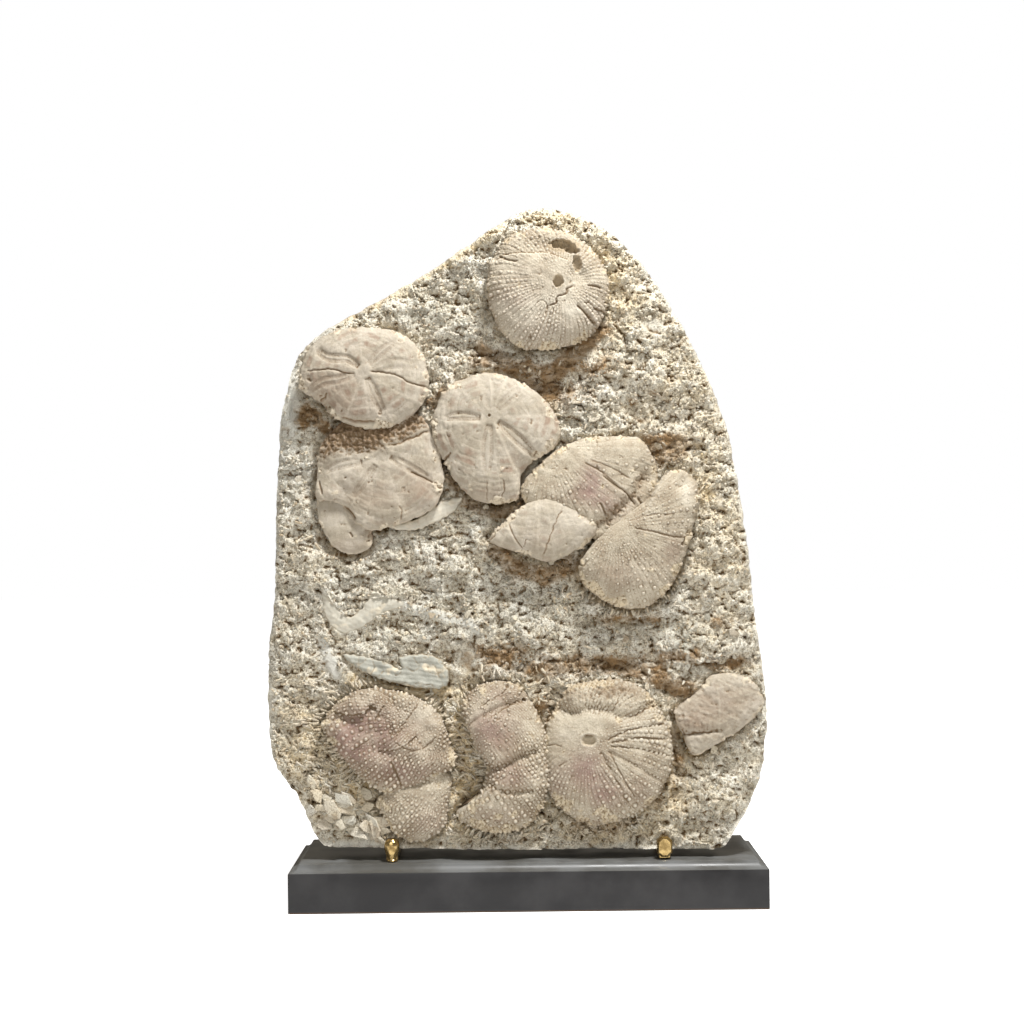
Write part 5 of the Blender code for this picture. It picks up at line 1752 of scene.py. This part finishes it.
fossils["urchin_lower_left"] = {
    "rim": 5, "height": 18, "pole": (-84, 148), "knobRadius": 1.7, "rowGap": 4, "evenKnobs": 0.3,
    "waver": 2.6, "knobHeight": 1.7, "turn": 0.3, "paleTips": 0.15, "room": 1.06, "cut": 0.6, "squareness": 2,
    "knobRingShade": 1.3,
    "outline": [(-161, 147), (-143, 167), (-122, 174), (-88, 167), (-69, 152), (-60, 130), (-57, 112),
        (-76, 103), (-104, 90), (-130, 102), (-151, 127)],
    "dents": [(-142, 150, 12, 7, 4), (-88, 148, 10, 20, 1)],
    "ledges": [([(-120, 163), (-128, 156), (-140, 154), (-152, 157)], 3.4, 10),
        ([(-86, 138), (-100, 128), (-118, 126)], 1.6, 7)],
    "cracks": [([(-84, 164), (-92, 152), (-105, 133)], 0.6, 1, 0.6),
        ([(-107, 118), (-103, 108), (-98, 95)], 0.8, 1.4, 0.9),
        ([(-111, 162), (-116, 154), (-120, 148)], 0.7, 1.2, 0.9),
        ([(-104, 133), (-92, 126), (-80, 128), (-70, 137)], 0.6, 0.9, 0.9)],
    "worn": [(-76, 148, 16, 14, 0.7)], "bleached": [(-88, 156, 18, 10, 0.35)],
    # The mauve grey on its left is its own colour with painted shade of its left side
    "tints": [(-138, 136, 22, 26, 0.5), (-122, 140, 30, 26, 0.9), (-100, 108, 28, 12, 0.8),
        (-140, 132, 14, 18, 0.6), (-100, 130, 50, 40, 0.25)],
    "crusted": [(-154, 134, 9, 20, 0.3), (-132, 108, 14, 10, 0.2)],
}
fossils["urchin_lower_left_fragment"] = {
    "rim": 3, "height": 11, "pole": (-62, 116), "knobRadius": 1.6, "rowGap": 4.2, "room": 1.2, "cut": 0.6,
    "outline": [(-119, 84), (-104, 99), (-78, 110), (-61, 104), (-62, 82), (-67, 62), (-87, 52), (-105, 59),
        (-114, 73)], "dents": [(-90, 100, 30, 5, 3)], "worn": [(-90, 92, 26, 12, 0.6)],
    "tints": [(-78, 70, 18, 18, 0.35)], "crusted": [(-88, 60, 26, 10, 0.5), (-112, 78, 10, 10, 0.5)],
}
fossils["urchin_lower_middle"] = {
    "rim": 7, "height": 23, "pole": (-40, 150), "hub": (-12, 108), "knobRadius": 1.75, "rowGap": 4.1,
    "evenKnobs": 0.3, "knobHeight": 1.7, "turn": 0.9, "paleTips": 0.15, "room": 1.06, "cut": 0.55,
    "squareness": 2, "knobRingShade": 1.3, "waver": 1.8,
    "outline": [(-51, 159), (-38, 175), (-16, 179), (-2, 170), (11, 148), (18, 125), (17, 96), (4, 68),
        (-26, 59), (-50, 67), (-56, 77), (-38, 91), (-32, 109), (-42, 130)],
    "valleys": [([(-45, 146), (-29, 155), (-15, 161), (-3, 164)], 2.2, 2),
        ([(-34, 114), (-24, 112), (-14, 115), (-6, 120), (6, 124)], 3.6, 4.6),
        ([(-30, 98), (-14, 93), (3, 94)], 2.6, 2.4)],
    "cracks": [([(-36, 160), (-22, 168), (-14, 174)], 0.6, 0.9, 0.6),
        ([(-30, 150), (-14, 160), (-1, 164)], 0.7, 1, 0.7)],
    "holes": [(-15, 175, 1.6, 1.4, 2, 0.7), (-2, 164, 1.6, 1.2, 2, 0.7), (-36, 105, 1.4, 1.2, 1.6, 0.8)],
    "tints": [(-26, 142, 22, 24, 0.85), (-14, 106, 22, 12, 0.7), (-24, 74, 22, 10, 0.35),
        (-22, 168, 24, 8, 0.3)], "worn": [(4, 150, 12, 20, 0.55), (-26, 74, 24, 12, 0.3)],
    "crusted": [(-20, 70, 36, 14, 0.9), (-44, 80, 14, 10, 0.4)],
}
fossils["urchin_lower_right"] = {
    "rim": 6, "height": 24, "pole": (48, 133), "knobRadius": 1.7, "turn": 0.7, "rowGap": 4, "room": 1.06,
    "knobHeight": 1.35, "cut": 0.6, "squareness": 2.3,
    "outline": [(32, 171), (54, 178), (77, 178), (96, 167), (112, 139), (113, 108), (96, 80), (72, 68),
        (46, 65), (23, 81), (12, 106), (15, 140)],
    "dents": [(28, 154, 14, 12, 4)], "holes": [(48, 133, 5.2, 4.3, 3.2, 0), (48, 136.4, 4.2, 1.3, 1.2, 0.7)],
    "litHoles": [(48, 132, 6, 4, 0.3, 0)],
    "valleys": [([(24, 158), (36, 154), (49, 157), (61, 156), (72, 151), (84, 151), (94, 157),
        (106, 163)], 4.2, 3.6), ([(64, 134), (82, 141), (107, 144)], 1.1, 1.3),
        ([(66, 131), (86, 134), (112, 132)], 1.1, 1.3), ([(66, 128), (86, 126), (111, 119)], 1.1, 1.3),
        ([(64, 124), (84, 113), (105, 100)], 1.6, 1.3), ([(58, 122), (68, 104), (80, 80)], 1.5, 1)],
    "cracks": [([(66, 154), (70, 161), (73, 168)], 0.6, 0.9, 0.6),
        ([(84, 151), (92, 155), (104, 160)], 0.7, 1, 0.9), ([(12, 127), (20, 129), (28, 128)], 0.5, 0.7, 0.5),
        ([(64, 124), (74, 104), (86, 84)], 0.6, 0.9, 0.6), ([(24, 112), (31, 117)], 0.5, 0.6, 0.5)],
    "worn": [(28, 128, 22, 28, 1.1), (52, 147, 30, 7, 0.9), (62, 168, 34, 8, 0.35), (76, 120, 14, 8, 0.6)],
    "tints": [(46, 110, 16, 18, 0.95), (60, 92, 14, 16, 0.8), (88, 92, 20, 16, 0.25), (22, 100, 12, 16, 0.5)],
    "bleached": [(30, 136, 12, 8, 0.3), (92, 140, 24, 12, 0.2)],
    # The earth along its top edge also dims the upward-facing top: caked earth with painted shade
    "earth": [(60, 158, 36, 4.5, 0.35), (56, 68, 40, 4, 0.5), (62, 170, 44, 8, 0.7)],
    "crusted": [(46, 76, 34, 13, 0.75), (18, 156, 10, 12, 0.5), (24, 86, 12, 12, 0.4), (40, 94, 14, 6, 0.5)],
}
fossils["sand_dollar_lower_right"] = {
    "rim": 4, "height": 11, "hub": (150, 152), "fibres": (-22, 0.45), "roughness": 1.8,
    "outline": [(116, 151), (123, 159), (137, 170), (148, 182), (174, 179), (186, 163), (183, 152),
        (168, 138), (150, 127), (131, 118), (123, 133)],
    "ridges": [([(149, 176), (151, 158), (151, 140), (154, 134)], 1.2, 0.8)],
    "valleys": [([(114, 140), (124, 136), (137, 137), (152, 139)], 3, 3.2)],
    "cracks": [([(121, 134), (134, 136), (147, 137)], 0.7, 0.9, 0.8)],
    "tints": [(150, 160, 34, 18, 0.45), (128, 146, 18, 10, 0.5)],
    "earth": [(134, 141, 18, 4, 0.55), (122, 130, 6, 8, 0.4)],
    "crusted": [(182, 150, 8, 14, 0.55), (158, 132, 16, 6, 0.4), (124, 124, 10, 6, 0.3)],
}

flakes = {}
flakes["shell_crescent"] = {
    "proud": 2, "cut": 0.3, "striped": 0.05, "cream": 1, "lines": (-0.3, 0.9), "bulge": 0.3, "cracks": 0.4,
    "outline": [(-108, 301), (-84, 307), (-66, 320), (-50, 323), (-56, 312), (-74, 302), (-92, 297)],
}
flakes["shell_fragment_grey"] = {
    "proud": 5, "cut": 0.8, "striped": 0.16, "cream": 0, "lines": (0.1, 0.9), "bulge": -1.2, "cracks": 1,
    "outline": [(-145, 200), (-116, 196), (-99, 188), (-99, 198), (-72, 198), (-61, 182), (-68, 173),
        (-94, 175), (-123, 184)],
}
flakes["shell_fragment_white"] = {
    "proud": 1.2, "cut": 0, "striped": 0.05, "cream": 0.7, "lines": (0.4, 0.8), "bulge": 0.9, "cracks": 0.3,
    "outline": [(-161, 247), (-155, 246), (-145, 232), (-135, 231), (-124, 243), (-108, 245), (-95, 239),
        (-116, 231), (-130, 221), (-146, 217), (-157, 228)],
}

makeCamera()
makeLights()
makeFloor()
print("camera, lights and floor made")

stoneGroup = buildStoneGroup(buildGrainGroup())
rubbedGroup = buildRubbedGroup()
stones = {name: stoneMaterial(name, stoneGroup) for name in stoneLooks}
ebonisedWood = ebonisedMaterial(rubbedGroup)
brass = brassMaterial(rubbedGroup)
print("materials made")

for place, (name, look) in enumerate(fossils.items()):
    finish, slot = ("urchinTest", "urchin_test") if "pole" in look else ("sandDollarTest", "sand_dollar_test")
    makeFossil(name, look, 201 + 10 * place, stones[finish])
for name, look in flakes.items():
    makeFlake(name, look, stones["shellFlake"])
for look in (*fossils.values(), *flakes.values()):
    buriedLoops.append((smoothCurve(look["outline"], 2.5), look.get("cut", fossilMake["cut"])))
print("fossils made")

makeSlab(stones["limestone"])
for batch in range(gritMake["batches"]):
    makeGrit(f"matrix_grit_{batch + 1}", gritMake["seed"] + batch, stones["limestone"])
makeSpines(stones["limestone"])
makePlateBits(stones["limestone"])
print("slab made")

makePlinth(ebonisedWood)
makeClaw("claw_left", -clawMake["x"], brass)
makeClaw("claw_right", clawMake["x"], brass)
print("plinth and claws made")
